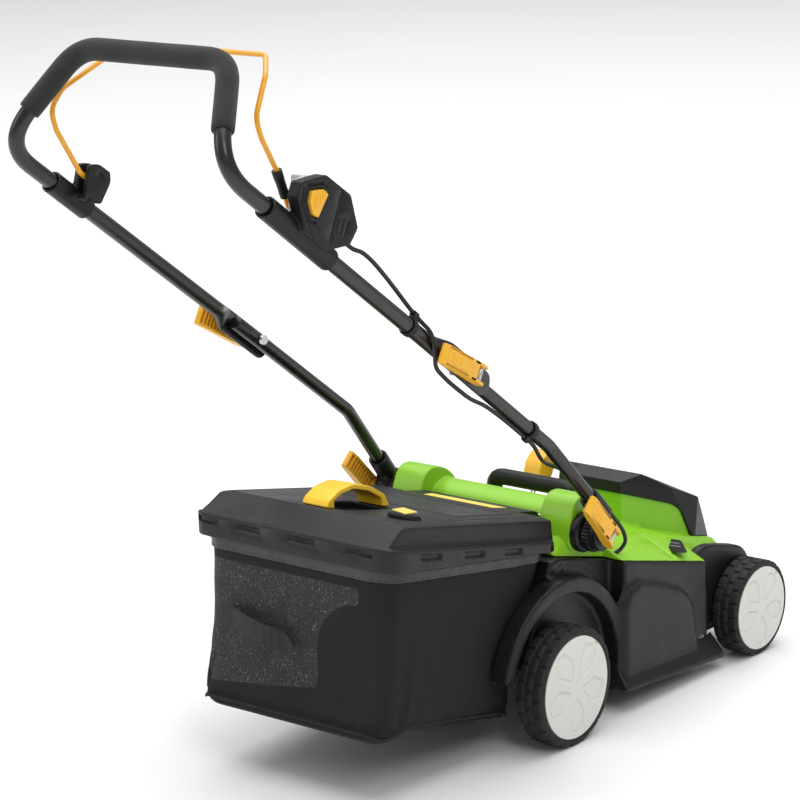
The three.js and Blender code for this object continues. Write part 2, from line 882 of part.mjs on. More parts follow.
function upperTube() {
  const tube = sweep(upperPath(), TUBE_R, 10, TUBE_R - TUBE_WALL);
  const end = flattenedEnd();
  const drain = rod(onHandle(-104, 0, 170), onHandle(-104, 0, HANDLE_Y), 2.5, 8);
  const bolt = along(UPPER_PIVOT.x, UPPER_PIVOT.z, 190, 215, 4.4, 12);
  return cut(unite(tube, end, flipY(end)), drain, flipY(drain), bolt, flipY(bolt));
}

function foamGrip() {
  const left = [GRIP_START, GRIP_CORNER];
  const path = bentPath([...left, ...left.map(mirror).reverse()], [52, 52], 6);
  return sweep(path, FOAM_R, 10, TUBE_R + 1.6);
}

// ---------------------------------------------------------------- operator's controls
const SWITCH_FACE = [
  [-502, 909],
  [-455, 911],
  [-408, 878],
  [-396, 833],
  [-413, 814],
  [-459, 814],
  [-495, 842],
  [-511, 891],
];
const BUTTON = [
  [-487, 896],
  [-465, 895],
  [-455, 887],
  [-477, 859],
  [-487, 865],
  [-492, 882],
];
const tubeRun = (s0, s1, r, sides) => rod(onHandle(s0, 0, -HANDLE_Y), onHandle(s1, 0, -HANDLE_Y), r, sides);
const sAtX = (x) => (x - UPPER_PIVOT.x) / ALONG.x;

function grow(points, amount) {
  const middle = points.reduce((a, p) => a.add(new THREE.Vector2(...p)), new THREE.Vector2());
  middle.divideScalar(points.length);
  return points.map((p) => {
    const away = new THREE.Vector2(...p).sub(middle);
    return away.setLength(away.length() + amount).add(middle).toArray();
  });
}

function switchHousing() {
  const box = sideProfile(SWITCH_FACE, -215, -196.8, 4);
  const clamp = tubeRun(sAtX(-545), sAtX(-427), 15.6, 16);
  return cut(
    unite(box, clamp),
    tubeRun(sAtX(-570), sAtX(-400), TUBE_R + 0.8, 12),
    sideProfile(grow(BUTTON, 0.6), -230, -205.5),
  );
}

const INNER_FACE = [
  [-486, 905],
  [-458, 909],
  [-412, 876],
  [-400, 834],
  [-416, 816],
  [-452, 816],
  [-481, 838],
  [-492, 872],
];

function switchHousingInner() {
  const box = sideProfile(INNER_FACE, -196.4, -163, 4);
  const slot = sideProfile(
    [
      [-540, 930],
      [-462, 940],
      [-466, 864],
      [-474, 854],
      [-520, 860],
    ],
    -181,
    -163.5,
  );
  return cut(
    box,
    slot,
    tubeRun(sAtX(-560), sAtX(-400), 15.6 + 0.7, 16),
    along(BAIL_PIVOT.x, BAIL_PIVOT.z, -186, -160, BAIL_R + 0.5, 10),
    cableSolid(0, 0.12, CABLE_R + GAP),
  );
}

function startButton() {
  return sideProfile(BUTTON, -218.5, -210, 2);
}

function bailBracket() {
  const lobe = sideProfile(
    [
      [-498, 898],
      [-480, 896],
      [-460, 882],
      [-461, 868],
      [-481, 842],
      [-512, 852],
    ],
    160,
    186,
    4,
  );
  const left = (s, r, sides) => rod(onHandle(s[0], 0, HANDLE_Y), onHandle(s[1], 0, HANDLE_Y), r, sides);
  const clamp = left([sAtX(-542), sAtX(-480)], 15.6, 14);
  const slot = block(-560, -466, 166.5, 177.5, 858, 960);
  return cut(
    unite(lobe, clamp),
    slot,
    left([sAtX(-560), sAtX(-460)], TUBE_R + 0.8, 12),
    along(BAIL_PIVOT.x, BAIL_PIVOT.z, 166, 184, BAIL_R + 0.5, 10),
  );
}

const BAIL_LEFT = [
  [-505, 887, BAIL_Y],
  [-545, 950, BAIL_Y],
  [-553, 978, BAIL_Y],
  [-532, 1003, 170],
  [-470, 1037, 150],
];
const BAIL_RIGHT = [
  [-496, 911, -BAIL_Y],
  [-527, 964, -BAIL_Y],
  [-536, 990, -BAIL_Y],
  [-510, 1040, -168],
];
const point = ([x, z, y]) => new THREE.Vector3(x, y, z);

function bailBar() {
  const end = (side) => [
    new THREE.Vector3(BAIL_PIVOT.x, side * 183.4, BAIL_PIVOT.z),
    new THREE.Vector3(BAIL_PIVOT.x, side * BAIL_Y, BAIL_PIVOT.z),
  ];
  const points = [
    ...end(1),
    ...BAIL_LEFT.map(point),
    new THREE.Vector3(-468, 128, 1058),
    new THREE.Vector3(-468, -132, 1058),
    ...BAIL_RIGHT.map(point).reverse(),
    ...end(-1).reverse(),
  ];
  const radii = [5, 8, 12, 14, 14, 10, 20, 22, 18, 14, 12, 8, 5];
  return sweep(bentPath(points, radii, 2), BAIL_R, 6);
}

const BOOT = [new THREE.Vector3(-485.6, -BAIL_Y, 883), new THREE.Vector3(-501, -BAIL_Y, 920)];
function bailBoot() {
  const axis = BOOT[1].clone().sub(BOOT[0]).normalize();
  const shaft = rod(
    BOOT[0].clone().addScaledVector(axis, -9),
    BOOT[1].clone().addScaledVector(axis, 9),
    BAIL_R + 1.4,
    10,
  );
  return cut(rod(BOOT[0], BOOT[1], 7, 12), shaft);
}

// ---------------------------------------------------------------- cable
// Its route, from the switch housing down the right-hand tubes and into the upper cover.
const cableRoute = [
  onHandle(-332, 34, -188),
  onHandle(-304, 34, -190),
  onHandle(-286, 38, -191),
  onHandle(-262, 38, -191),
  onHandle(-232, 35, -190),
  onHandle(-196, 29, -190),
  onHandle(-156, 21, -191),
  onHandle(-128, 16, -193),
  onHandle(-112, 9, -202),
  onHandle(-98, -3, -205.5),
  onHandle(-84, -15, -203),
  onHandle(-64, -23, -196),
  onHandle(-34, -25, -192),
  onHandle(0, -25, -190),
  onHandle(40, -23, -188),
  onHandle(76, -17, -187),
  onHandle(120, -15, -187),
  onHandle(170, -15, -187),
  onHandle(214, -16, -186),
  new THREE.Vector3(36, -178, 426),
  new THREE.Vector3(64, -168, 410),
  new THREE.Vector3(104, -168, 391),
  new THREE.Vector3(146, -176, 362),
  new THREE.Vector3(176, -181, 332),
  new THREE.Vector3(204, -185, 300),
  new THREE.Vector3(224, -190, 272),
  new THREE.Vector3(226, -192, 257),
  new THREE.Vector3(221, -188, 246),
  new THREE.Vector3(214, -182, 239.5),
];
const CABLE_SPLITS = [0, 10, 15, 18, 28];

const CABLE = new THREE.CatmullRomCurve3(cableRoute, false, 'centripetal');

// the stretch of the cable between two fractions of its route
function cableSolid(from, to, radius) {
  const samples = Math.max(3, Math.round((to - from) * 52));
  const points = Array.from({ length: samples + 1 }, (_, k) =>
    CABLE.getPoint(from + ((to - from) * k) / samples),
  );
  return sweep(points, radius, 6);
}

function addCable() {
  const names = ['cable_upper', 'cable_upper_fold', 'cable_lower', 'cable_lower_fold'];
  const count = cableRoute.length - 1;
  names.forEach((name, i) => {
    const from = CABLE_SPLITS[i] / count + (i > 0 ? 0.0012 : 0);
    add(name, cableSolid(from, CABLE_SPLITS[i + 1] / count, CABLE_R), RUBBER);
  });
}

// a band round the right-hand tube with an eye for the cable
function cableClip(s, d, y) {
  const band = rod(onHandle(s - 5, 0, -HANDLE_Y), onHandle(s + 5, 0, -HANDLE_Y), TUBE_R + 2.6, 12);
  const eye = rod(onHandle(s - 5, d, y), onHandle(s + 5, d, y), CABLE_R + 2.8, 8);
  return { band, eye };
}

function upperClip() {
  const { band, eye } = cableClip(-142, 17.6, -191.5);
  return cut(
    unite(band, eye),
    rod(onHandle(-170, 0, -HANDLE_Y), onHandle(-110, 0, -HANDLE_Y), TUBE_R + 0.8, 12),
    cableSolid(0.17, 0.27, CABLE_R + GAP),
  );
}

function lowerClip() {
  const { band, eye } = cableClip(192, -15.5, -186.6);
  return cut(
    unite(band.translate([0, HANDLE_Y - LOWER_TUBE_Y, -2.2]), eye),
    sweep(lowerTubePath().map(mirror), LOWER_TUBE_R + 0.8, 12),
    cableSolid(0.54, 0.64, CABLE_R + GAP),
  );
}

// ---------------------------------------------------------------- batteries and carry handle
function battery() {
  return sideProfile(
    [
      [BAY.x0 + 8, BAY.floor + GAP],
      [BAY.x1 - 4, BAY.floor + GAP],
      [BAY.x1 - 4, 212],
      [BAY.x1 - 14, 224],
      [BAY.x0 + 16, 244],
      [BAY.x0 + 8, 238],
    ],
    4,
    BAY.half - 10,
    4,
  );
}

function carryHandle() {
  const x = 254;
  const path = bentPath(
    [
      new THREE.Vector3(x, 76, 248),
      new THREE.Vector3(x, 71, 312),
      new THREE.Vector3(x, -71, 312),
      new THREE.Vector3(x, -76, 248),
    ],
    [17, 17],
  );
  return cut(sweep(path, 13, 12), coverForm(GAP).translate([0, 0, GAP]));
}

// ---------------------------------------------------------------- grass bag
const bagTopZ = (x) => rimLowZ(x) + 12;
const BAG_SIDE = [
  [-302, bagTopZ(-302)],
  [-311, 330],
  [-330, 128],
  [-330, 108],
  [-318, 96],
  [-262, 102],
  [-60, 60],
  [-36, 49],
  [-22, 56],
  [-9, 106],
  [-9, 124],
  [54, 262],
  [66, bagTopZ(66)],
];

function bagForm(inset) {
  const middle = new THREE.Vector2(-140, 215);
  const ring = (scale, y) =>
    BAG_SIDE.map(([x, z]) => {
      const away = new THREE.Vector2(x, z).sub(middle).multiplyScalar(scale);
      const shrunk = away.setLength(away.length() - inset).add(middle);
      return [shrunk.x, y, shrunk.y];
    });
  return hull(mirrored([...ring(1, 118), ...ring(0.985, 146), ...ring(0.94, 162), ...ring(0.88, 170)].map(
    ([x, y, z]) => [x, y - inset, z],
  )));
}

// the rear face sinks in a little below the lid
function rearDip(depth) {
  return sideProfile(
    [
      [-380, 362],
      [-303.6 + depth, 362],
      [-303.6 + depth, 338],
      [-310 + depth, 332],
      [-311 + depth, 318],
      [-305 + depth, 270],
      [-305 + depth, 205],
      [-328 + depth, 136],
      [-380, 130],
    ],
    -200,
    200,
    4,
    2,
  );
}

// the front is cut back to the slope of the deck's rear face
const bagFront = (depth) =>
  sideProfile(
    [
      [-9 - depth, 20],
      [-9 - depth, 124],
      [54 - depth, 262.4],
      [130, 262.4],
      [130, 20],
    ],
    -200,
    200,
  );

function bagFabric() {
  const wall = 2.6;
  const outer = cut(bagForm(0), rearDip(0), bagFront(0));
  const hollow = cut(bagForm(wall), rearDip(wall), bagFront(wall));
  const openTop = block(-304, 62, -158, 158, 250, 420).intersect(
    sideProfile([[-304, 300], [62, 262], [62, 420], [-304, 420]], -160, 160),
  );
  const mouth = sideProfile(
    [
      [-60, 124],
      [20, 124],
      [90, 262],
      [90, 330],
      [-60, 330],
    ],
    -150,
    150,
  );
  return cut(outer, unite(hollow, openTop, mouth));
}

const HANDLE_WELL = { x0: -232, x1: -128, half: 38, deep: 15 };
const planOutline = (inset) => {
  const half = LID.half - inset;
  const rear = LID.rear + inset;
  const front = LID.front - inset;
  return [
    [rear, half],
    [rear, -half],
    [front, -half],
    [front, half],
  ];
};

function planForm(points, round) {
  return solid(prism(points, 400, round, 5).translate(0, 0, 150));
}

function bagLid() {
  const rimSide = (drop) =>
    sideProfile(
      [
        [-330, rimLowZ(-330) - drop],
        [90, rimLowZ(90) - drop],
        [90, rimTopZ(90)],
        [-330, rimTopZ(-330)],
      ],
      -200,
      200,
    );
  const top = (lower) =>
    hull(
      mirrored([
        [LID.rear + 8, LID.half - 14, rimTopZ(LID.rear + 8) - lower],
        [LID.front - 2, LID.half - 14, rimTopZ(LID.front - 2) - lower],
        [RIDGE.x, RIDGE.half, RIDGE.z - 4 - lower],
        [RIDGE.x + 4, RIDGE.half - 14, ridgeZ(RIDGE.x + 4) - lower],
        [LID.front - 2, RIDGE.half, ridgeZ(LID.front - 2) - 3 - lower],
        [LID.front - 2, RIDGE.half - 14, ridgeZ(LID.front - 2) - lower],
        [LID.rear + 8, LID.half - 30, rimLowZ(LID.rear) - lower],
        [LID.front - 2, LID.half - 30, rimLowZ(LID.front) - lower],
      ]),
    );
  const outer = unite(rimSide(0).intersect(planForm(planOutline(0), 34)), top(0));
  const well = ({ x0, x1, half, deep }, out) =>
    sideProfile(
      [
        [x0 - out, ridgeZ(x0) - deep - out],
        [x1 + out, ridgeZ(x1) - deep - out],
        [x1 + out, 430],
        [x0 - out, 430],
      ],
      -half - out,
      half + out,
    );
  const wall = WALL;
  const inner = cut(
    unite(
      rimSide(5)
        .intersect(planForm(planOutline(wall + 4), 30))
        .intersect(rimSide(5).translate([0, 0, -wall])),
      top(wall).intersect(planForm(planOutline(wall + 18), 30)),
    ),
    well(HANDLE_WELL, wall),
  );
  const flapSeat = sideProfile(
    [
      [54, flapZ(54) - 3.9],
      [90, flapZ(90) - 3.9],
      [90, 400],
      [54, 400],
    ],
    -FLAP_HALF - 1.5,
    FLAP_HALF + 1.5,
  );
  const indicatorPin = block(-196, -188, -114, -108, 360, 400);
  return cut(outer, inner, well(HANDLE_WELL, 0), flapSeat, indicatorPin);
}

function bagHandle() {
  const outer = [
    [-250, ridgeZ(-250) + GAP],
    [-243, 408],
    [-222, 424],
    [-190, 430],
    [-152, 416],
    [-122, 392],
    [-112, ridgeZ(-112) + GAP],
  ];
  const under = [
    [-233, 360],
    [-233, 405],
    [-218, 415],
    [-190, 420],
    [-158, 408],
    [-130, 386],
    [-127, 360],
  ];
  return cut(sideProfile(outer, -19, 27, 4), sideProfile(under, -30, 40, 4));
}

function bagStrap() {
  const strip = crossProfile(
    [
      [122, 249],
      [122, 219],
      [-8, 193],
      [-8, 223],
    ],
    -340,
    -290,
  );
  const skin = (out) => cut(bagForm(-out), rearDip(-out));
  return cut(strip.intersect(skin(3.6)), skin(0.5));
}

function fillIndicator() {
  const z = (x, up) => ridgeZ(x) + up;
  const cap = hull(
    [
      [-212, -101],
      [-212, -121],
      [-200, -136],
      [-184, -136],
      [-172, -121],
      [-172, -101],
      [-184, -86],
      [-200, -86],
    ].flatMap(([x, y]) => [
      [x, y, z(x, GAP)],
      [-192 + (x + 192) * 0.9, -111 + (y + 111) * 0.9, z(x, 5.5)],
    ]),
  );
  return unite(cap, block(-195, -189, -113.4, -108.6, 368, 382));
}

// ---------------------------------------------------------------- everything in place
add('deck_shell', deckShell(), BLACK);
add('upper_cover', upperCover(), GREEN);
add('battery_cover', batteryCover(), HOOD);
add('carry_handle', carryHandle(), BLACK);
addPair('battery', battery(), BLACK);
add('flap_hinge_pin', along(FLAP_PIN.x, FLAP_PIN.z, -116, 116, 2.5, 12), STEEL);
add('motor', motorCan(), STEEL);
add('motor_shaft', motorShaft(), STEEL);
add('blade', blade(), STEEL);
add('blade_bolt', bladeBolt(), STEEL);

const REAR_CAP = REAR_WHEEL.z - TREAD_BAND;
const FRONT_CAP = FRONT_WHEEL.z - TREAD_BAND + 3;
addPair('tyre_rear', tyre(REAR_WHEEL, REAR_CAP), RUBBER);
addPair('hub_rear', hub(REAR_WHEEL, REAR_CAP), HUB);
addPair('tyre_front', tyre(FRONT_WHEEL, FRONT_CAP), RUBBER);
addPair('hub_front', hub(FRONT_WHEEL, FRONT_CAP), HUB);
add('rear_axle', crankedAxle(REAR_WHEEL), STEEL);
add('front_axle', crankedAxle(FRONT_WHEEL), STEEL);
add('link_rod', linkRod(), STEEL);
add('height_lever', heightLever(), STEEL);
add('height_knob', heightKnob(), YELLOW);
add('rear_flap', rearFlap(), BLACK);

addPair('handle_mount', handleMount(), BLACK);
addPair('lower_tube', lowerTube(), PAINTED);
addPair('tube_socket', tubeSocket(), BLACK);
addPair('pivot_bolt', clampBolt(UPPER_LEVER, 174.8, 7), STEEL);
addPair('clamp_bolt', clampBolt(LOWER_LEVER, 186.8, 0), STEEL);
addPair('cam_lever_upper', camLever(UPPER_LEVER), YELLOW);
addPair('cam_lever_lower', camLever(LOWER_LEVER), YELLOW);
add('upper_tube', upperTube(), PAINTED);
add('foam_grip', foamGrip(), FOAM);
add('switch_housing', switchHousing(), BLACK);
add('switch_housing_inner', switchHousingInner(), PALE);
add('start_button', startButton(), YELLOW);
add('bail_bracket', bailBracket(), BLACK);
add('bail_bar', bailBar(), YELLOW);
add('bail_boot', bailBoot(), BLACK);
addCable();
add('cable_clip_upper', upperClip(), BLACK);
add('cable_clip_lower', lowerClip(), BLACK);

add('bag_lid', bagLid(), LID_GREY);
add('bag_fabric', bagFabric(), FABRIC);
add('bag_handle', bagHandle(), YELLOW);
add('bag_strap', bagStrap(), FABRIC);
add('fill_indicator', fillIndicator(), YELLOW);

export { mower as default };
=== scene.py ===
"""Looks of a battery rotary lawn mower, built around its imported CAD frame.

Shapes are worked out in millimetres in the frame's own axes (+X forward, +Y to the operator's
left, +Z up) and scaled to metres when a mesh is made.
"""

import json
import math

import bmesh
import bpy
import numpy as np
from mathutils import Matrix, Vector, noise


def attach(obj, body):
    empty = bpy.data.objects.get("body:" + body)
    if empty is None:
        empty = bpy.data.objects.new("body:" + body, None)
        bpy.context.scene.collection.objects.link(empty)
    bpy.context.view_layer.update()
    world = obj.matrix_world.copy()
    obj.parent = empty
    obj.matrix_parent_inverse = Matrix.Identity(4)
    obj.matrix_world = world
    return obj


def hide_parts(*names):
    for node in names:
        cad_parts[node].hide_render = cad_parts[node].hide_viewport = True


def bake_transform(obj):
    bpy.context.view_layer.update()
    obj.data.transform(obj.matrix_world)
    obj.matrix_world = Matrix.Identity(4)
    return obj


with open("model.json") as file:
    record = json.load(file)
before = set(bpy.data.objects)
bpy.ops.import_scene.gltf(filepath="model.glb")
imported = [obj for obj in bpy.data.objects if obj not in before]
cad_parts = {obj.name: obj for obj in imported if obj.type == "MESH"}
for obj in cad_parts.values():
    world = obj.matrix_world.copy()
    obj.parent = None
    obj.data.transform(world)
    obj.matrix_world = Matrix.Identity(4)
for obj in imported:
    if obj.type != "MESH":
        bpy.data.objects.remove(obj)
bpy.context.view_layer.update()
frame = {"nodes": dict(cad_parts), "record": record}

MM = 0.001
BODY_OF = {n: b for b, nodes in frame["record"]["behaviour"]["bodies"].items() for n in nodes}

# ---------------------------------------------------------------- driving dimensions, mm
REAR_WHEEL = {"x": 42, "z": 89, "cap": 76.5}
FRONT_WHEEL = {"x": 540, "z": 76, "cap": 66.5}
TREAD_BLOCKS, TREAD_DEPTH = 22, 2.6
HUB_RINGS, HUB_TURNS = 84, 330
WHEEL_FACE_Y = 233.4
TYRE_WIDTH = 46
AXLE_R = 5
TUBE_R = 11
LOWER_TUBE_R = 10.2
HANDLE_Y = 190
LOWER_TUBE_Y = 187
FOAM_R = 15
BAIL_R = 3.5
BAIL_Y = 172
CABLE_R = 3
UPPER_PIVOT = Vector((-154.2, 0, 592.4))
LOWER_PIVOT = Vector((146, 0, 288))
ALONG = Vector((1, 0, -0.74)).normalized()
ABOVE = Vector((-ALONG.z, 0, ALONG.x))
TUBE_BEND = Vector((43.6, 187, 443.5))
TUBE_FOOT = Vector((141, 201, 332))
LOW_BEND = Vector((-625, 190, 940.8))
GRIP_CORNER = Vector((-535, 131, 1059))
GRIP_START = LOW_BEND.lerp(GRIP_CORNER, 0.34)
LID_REAR, LID_HALF = -312, 185
LEDGE_Z = 205
SIDES = (("left", 1), ("right", -1))


def ridge_z(x):
    return 397 - 0.213 * (x + 265)


def rim_top_z(x):
    return 375 - 0.213 * (x - LID_REAR)


def rim_low_z(x):
    return 340 - 0.162 * (x - LID_REAR)


def on_handle(s, d, y):
    """A point s along the upper handle's straight stretch, d above it, at y across."""
    point = UPPER_PIVOT + ALONG * s + ABOVE * d
    point.y = y
    return point


def mirror(p):
    return Vector((p[0], -p[1], p[2]))


# ---------------------------------------------------------------- camera, lights and floor
CAMERA_AT = Vector((-3.2155, -2.5906, 1.5242))
CAMERA_AZIMUTH, CAMERA_ELEVATION, CAMERA_ROLL = map(math.radians, (-50.62, 13.99, -1.507))
CAMERA_LENS = 132.0


def linked(name, data):
    """A new object in the scene."""
    obj = bpy.data.objects.new(name, data)
    bpy.context.scene.collection.objects.link(obj)
    return obj


def add_camera():
    az, el, roll = CAMERA_AZIMUTH, CAMERA_ELEVATION, CAMERA_ROLL
    back = Vector((math.sin(az) * math.cos(el), -math.cos(az) * math.cos(el), math.sin(el)))
    level = Vector((math.cos(az), math.sin(az), 0))
    up0 = back.cross(level)
    right = level * math.cos(roll) + up0 * math.sin(roll)
    up = up0 * math.cos(roll) - level * math.sin(roll)
    data = bpy.data.cameras.new("camera")
    data.lens, data.sensor_width = CAMERA_LENS, 36
    data.clip_end = 60
    camera = linked("camera", data)
    turn = Matrix((right, up, back)).transposed().to_4x4()
    camera.matrix_world = Matrix.Translation(CAMERA_AT) @ turn
    bpy.context.scene.camera = camera


def add_light(name, at, target, size, power):
    data = bpy.data.lights.new(name, "AREA")
    data.shape, data.size, data.size_y, data.energy = "RECTANGLE", size[0], size[1], power
    light = linked(name, data)
    light.location = at
    light.rotation_euler = (Vector(at) - Vector(target)).to_track_quat("Z", "Y").to_euler()


def add_studio():
    scene = bpy.context.scene
    scene.view_settings.view_transform = "Standard"
    world = bpy.data.worlds.new("studio")
    world.use_nodes = True
    world.node_tree.nodes["Background"].inputs["Color"].default_value = (1, 1, 1, 1)
    world.node_tree.nodes["Background"].inputs["Strength"].default_value = 0.42
    scene.world = world
    middle = (0, 0, 0.4)
    add_light("key", (-2.6, -4.4, 4.6), middle, (2.2, 2.2), 75)
    add_light("top", (2.0, 1.4, 8.0), (2.0, 1.4, 0), (12, 12), 930)
    add_light("rim", (-3.5, 3.4, 2.6), middle, (1.2, 2.4), 30)
    bpy.ops.mesh.primitive_plane_add(size=40)
    floor = bpy.context.object
    floor.name = "floor"
    s = Shader("floor_pale")
    s.set(Roughness=0.9, Base_Color=s.mix(s.noise(1.5, 2), (0.86, 0.86, 0.86, 1), (0.9, 0.9, 0.9, 1)))
    floor.data.materials.append(s.material)


# ---------------------------------------------------------------- materials
def srgb(*rgb):
    linear = [c / 255 / 12.92 if c <= 10 else ((c / 255 + 0.055) / 1.055) ** 2.4 for c in rgb]
    return (*linear, 1)


def scaled(colour, factor):
    return (*[min(1, c * factor) for c in colour[:3]], 1)


class Shader:
    """A Principled material under construction."""

    def __init__(self, name):
        self.material = bpy.data.materials.new(name)
        self.material.use_nodes = True
        self.tree = self.material.node_tree
        self.bsdf = self.tree.nodes["Principled BSDF"]
        self.place = self.node("ShaderNodeTexCoord").outputs["Object"]

    def put(self, socket, value):
        if isinstance(value, bpy.types.NodeSocket):
            self.tree.links.new(value, socket)
        else:
            socket.default_value = value

    def node(self, kind, settings=None, **inputs):
        made = self.tree.nodes.new(kind)
        for key, value in (settings or {}).items():
            setattr(made, key, value)
        for key, value in inputs.items():
            self.put(made.inputs[key.replace("_", " ")], value)
        return made

    def set(self, **inputs):
        for key, value in inputs.items():
            self.put(self.bsdf.inputs[key.replace("_", " ")], value)

    def noise(self, scale, detail=3.0, place=None):
        vector = place or self.place
        return self.node("ShaderNodeTexNoise", Vector=vector, Scale=scale, Detail=detail).outputs["Fac"]

    def stretched(self, x, y, z):
        return self.node("ShaderNodeMapping", Vector=self.place, Scale=(x, y, z)).outputs["Vector"]

    def mix(self, share, a, b):
        made = self.node("ShaderNodeMix", {"data_type": "RGBA"})
        self.put(made.inputs[0], share)
        self.put(made.inputs[6], a)
        self.put(made.inputs[7], b)
        return made.outputs[2]

    def math(self, operation, a, b=0.0):
        made = self.node("ShaderNodeMath", {"operation": operation})
        self.put(made.inputs[0], a)
        self.put(made.inputs[1], b)
        return made.outputs[0]

    def spread(self, value, low, high, to_low=0.0, to_high=1.0):
        inputs = {"From_Min": low, "From_Max": high, "To_Min": to_low, "To_Max": to_high}
        return self.node("ShaderNodeMapRange", Value=value, **inputs).outputs["Result"]

    def cloud(self, scale, detail, low=0.3, high=0.7, to_low=0.0, to_high=1.0):
        """Noise with its middle part stretched over the given range."""
        return self.spread(self.noise(scale, detail), low, high, to_low, to_high)

    def bump(self, height, distance):
        return self.node("ShaderNodeBump", Height=height, Distance=distance).outputs["Normal"]

    def edges(self):
        """Share of an outer edge, broken up as rubbed plastic is."""
        sharp = self.node("ShaderNodeNewGeometry").outputs["Pointiness"]
        return self.math("MULTIPLY", self.spread(sharp, 0.52, 0.62), self.spread(self.noise(60), 0.3, 0.6))


def moulded_plastic(name, colour, roughness=0.45, grain=0.00006, wear=0.25, tone=0.1):
    s = Shader(name)
    cloud = s.cloud(7, 4)
    base = s.mix(cloud, scaled(colour, 1 - tone), scaled(colour, 1 + tone))
    rubbed = scaled(colour, 1.3) if max(colour[:3]) > 0.2 else (0.05, 0.05, 0.05, 1)
    base = s.mix(s.math("MULTIPLY", s.edges(), wear), base, rubbed)
    dust = s.cloud(260, 2, 0.35, 0.65, -0.03, 0.03)
    rough = s.cloud(18, 3, 0.3, 0.7, roughness - 0.05, roughness + 0.06)
    s.set(Base_Color=base, Roughness=s.math("ADD", rough, dust))
    s.set(Specular_IOR_Level=0.3 if max(colour[:3]) < 0.1 else 0.45)
    coarse = s.math("MULTIPLY", s.noise(300, 2), 0.7)
    s.set(Normal=s.bump(s.math("ADD", s.noise(1600, 2), coarse), grain))
    return s.material


def painted_metal(name, colour, roughness=0.22):
    s = Shader(name)
    cloud = s.cloud(10, 3)
    s.set(Base_Color=s.mix(cloud, scaled(colour, 0.88), scaled(colour, 1.12)))
    s.set(Roughness=s.cloud(40, 3, 0.3, 0.7, roughness, roughness + 0.1))
    s.set(Coat_Weight=0.35, Coat_Roughness=0.12)
    s.set(Normal=s.bump(s.noise(420, 2), 0.00005))
    return s.material


def plated_steel(name):
    s = Shader(name)
    streak = s.noise(60, 4, s.stretched(1, 9, 1))
    s.set(Base_Color=s.mix(streak, (0.45, 0.45, 0.46, 1), (0.72, 0.72, 0.74, 1)), Metallic=1.0)
    s.set(Roughness=s.spread(streak, 0.3, 0.7, 0.22, 0.42))
    s.set(Normal=s.bump(s.noise(900, 2), 0.00003))
    return s.material


def tyre_rubber(name):
    s = Shader(name)
    cloud = s.cloud(22, 5, 0.35, 0.7)
    s.set(Base_Color=s.mix(cloud, srgb(14, 14, 15), srgb(24, 24, 25)))
    s.set(Roughness=s.cloud(90, 3, 0.3, 0.7, 0.62, 0.8))
    s.set(Normal=s.bump(s.math("ADD", s.noise(1200, 2), s.noise(240, 3)), 0.00012))
    return s.material


def grip_foam(name):
    s = Shader(name)
    pores = s.node("ShaderNodeTexVoronoi", Vector=s.place, Scale=900.0).outputs["Distance"]
    cloud = s.cloud(30, 5)
    s.set(Base_Color=s.mix(cloud, srgb(34, 34, 35), srgb(46, 46, 47)))
    s.set(Roughness=0.92, Sheen_Weight=0.15)
    s.set(Normal=s.bump(s.math("ADD", pores, s.noise(500, 3)), 0.00022))
    return s.material


def cable_sheath(name):
    s = Shader(name)
    s.set(Base_Color=s.mix(s.noise(50, 3), srgb(12, 12, 13), srgb(20, 20, 21)))
    s.set(Roughness=s.cloud(120, 2, 0.3, 0.7, 0.4, 0.55))
    s.set(Normal=s.bump(s.noise(700, 2), 0.00005))
    return s.material


def cloth_threads(s, pitch):
    """Height of a plain weave on the cloth's own coordinates, one unit to the metre."""
    place = s.node("ShaderNodeUVMap", {"uv_map": "cloth"}).outputs["UV"]
    apart = s.node("ShaderNodeSeparateXYZ", Vector=place).outputs
    warp = s.math("SINE", s.math("MULTIPLY", apart["X"], math.tau / pitch))
    weft = s.math("SINE", s.math("MULTIPLY", apart["Y"], math.tau / pitch))
    return place, s.math("MULTIPLY", warp, weft)


def bag_cloth(name):
    """Tight black weave, with an open net, its glints painted in as highlight, where the attribute
    `window` is above 0.
    """
    s = Shader(name)
    place, weave = cloth_threads(s, 0.0026)
    cloud = s.cloud(14, 5)
    plain = s.mix(cloud, srgb(7, 7, 8), srgb(13, 13, 14))
    thread = s.mix(s.spread(weave, -0.4, 1.0), plain, srgb(20, 20, 21))
    apart = s.node("ShaderNodeSeparateXYZ", Vector=place).outputs
    tall = s.node("ShaderNodeCombineXYZ", X=apart["X"], Y=s.math("MULTIPLY", apart["Y"], 0.55))
    cells = s.node("ShaderNodeTexVoronoi", Vector=tall.outputs[0], Scale=430.0)
    # Bright specks on the net are painted highlight: glints standing in for light off the threads.
    painted_glint = s.spread(cells.outputs["Distance"], 0.42, 0.12)
    patch = s.cloud(45, 4, 0.3, 0.62)
    picked = s.cloud(380, 2, 0.4, 0.55)
    painted_glint = s.math("MULTIPLY", s.math("MULTIPLY", painted_glint, patch), picked)
    net = s.mix(painted_glint, srgb(27, 27, 28), srgb(140, 140, 142))
    window = s.node("ShaderNodeAttribute", {"attribute_name": "window"}).outputs["Fac"]
    inside = s.spread(window, -0.0006, 0.0006)
    s.set(Base_Color=s.mix(inside, thread, net))
    s.set(Roughness=s.spread(inside, 0, 1, 0.85, 0.6))
    s.set(Normal=s.bump(s.math("ADD", weave, s.math("MULTIPLY", painted_glint, 2.5)), 0.00025))
    return s.material


def webbing(name):
    s = Shader(name)
    _, weave = cloth_threads(s, 0.0019)
    s.set(Base_Color=s.mix(s.spread(weave, -1, 1), srgb(16, 16, 17), srgb(30, 30, 31)))
    s.set(Roughness=0.8, Sheen_Weight=0.12)
    s.set(Normal=s.bump(weave, 0.0003))
    return s.material


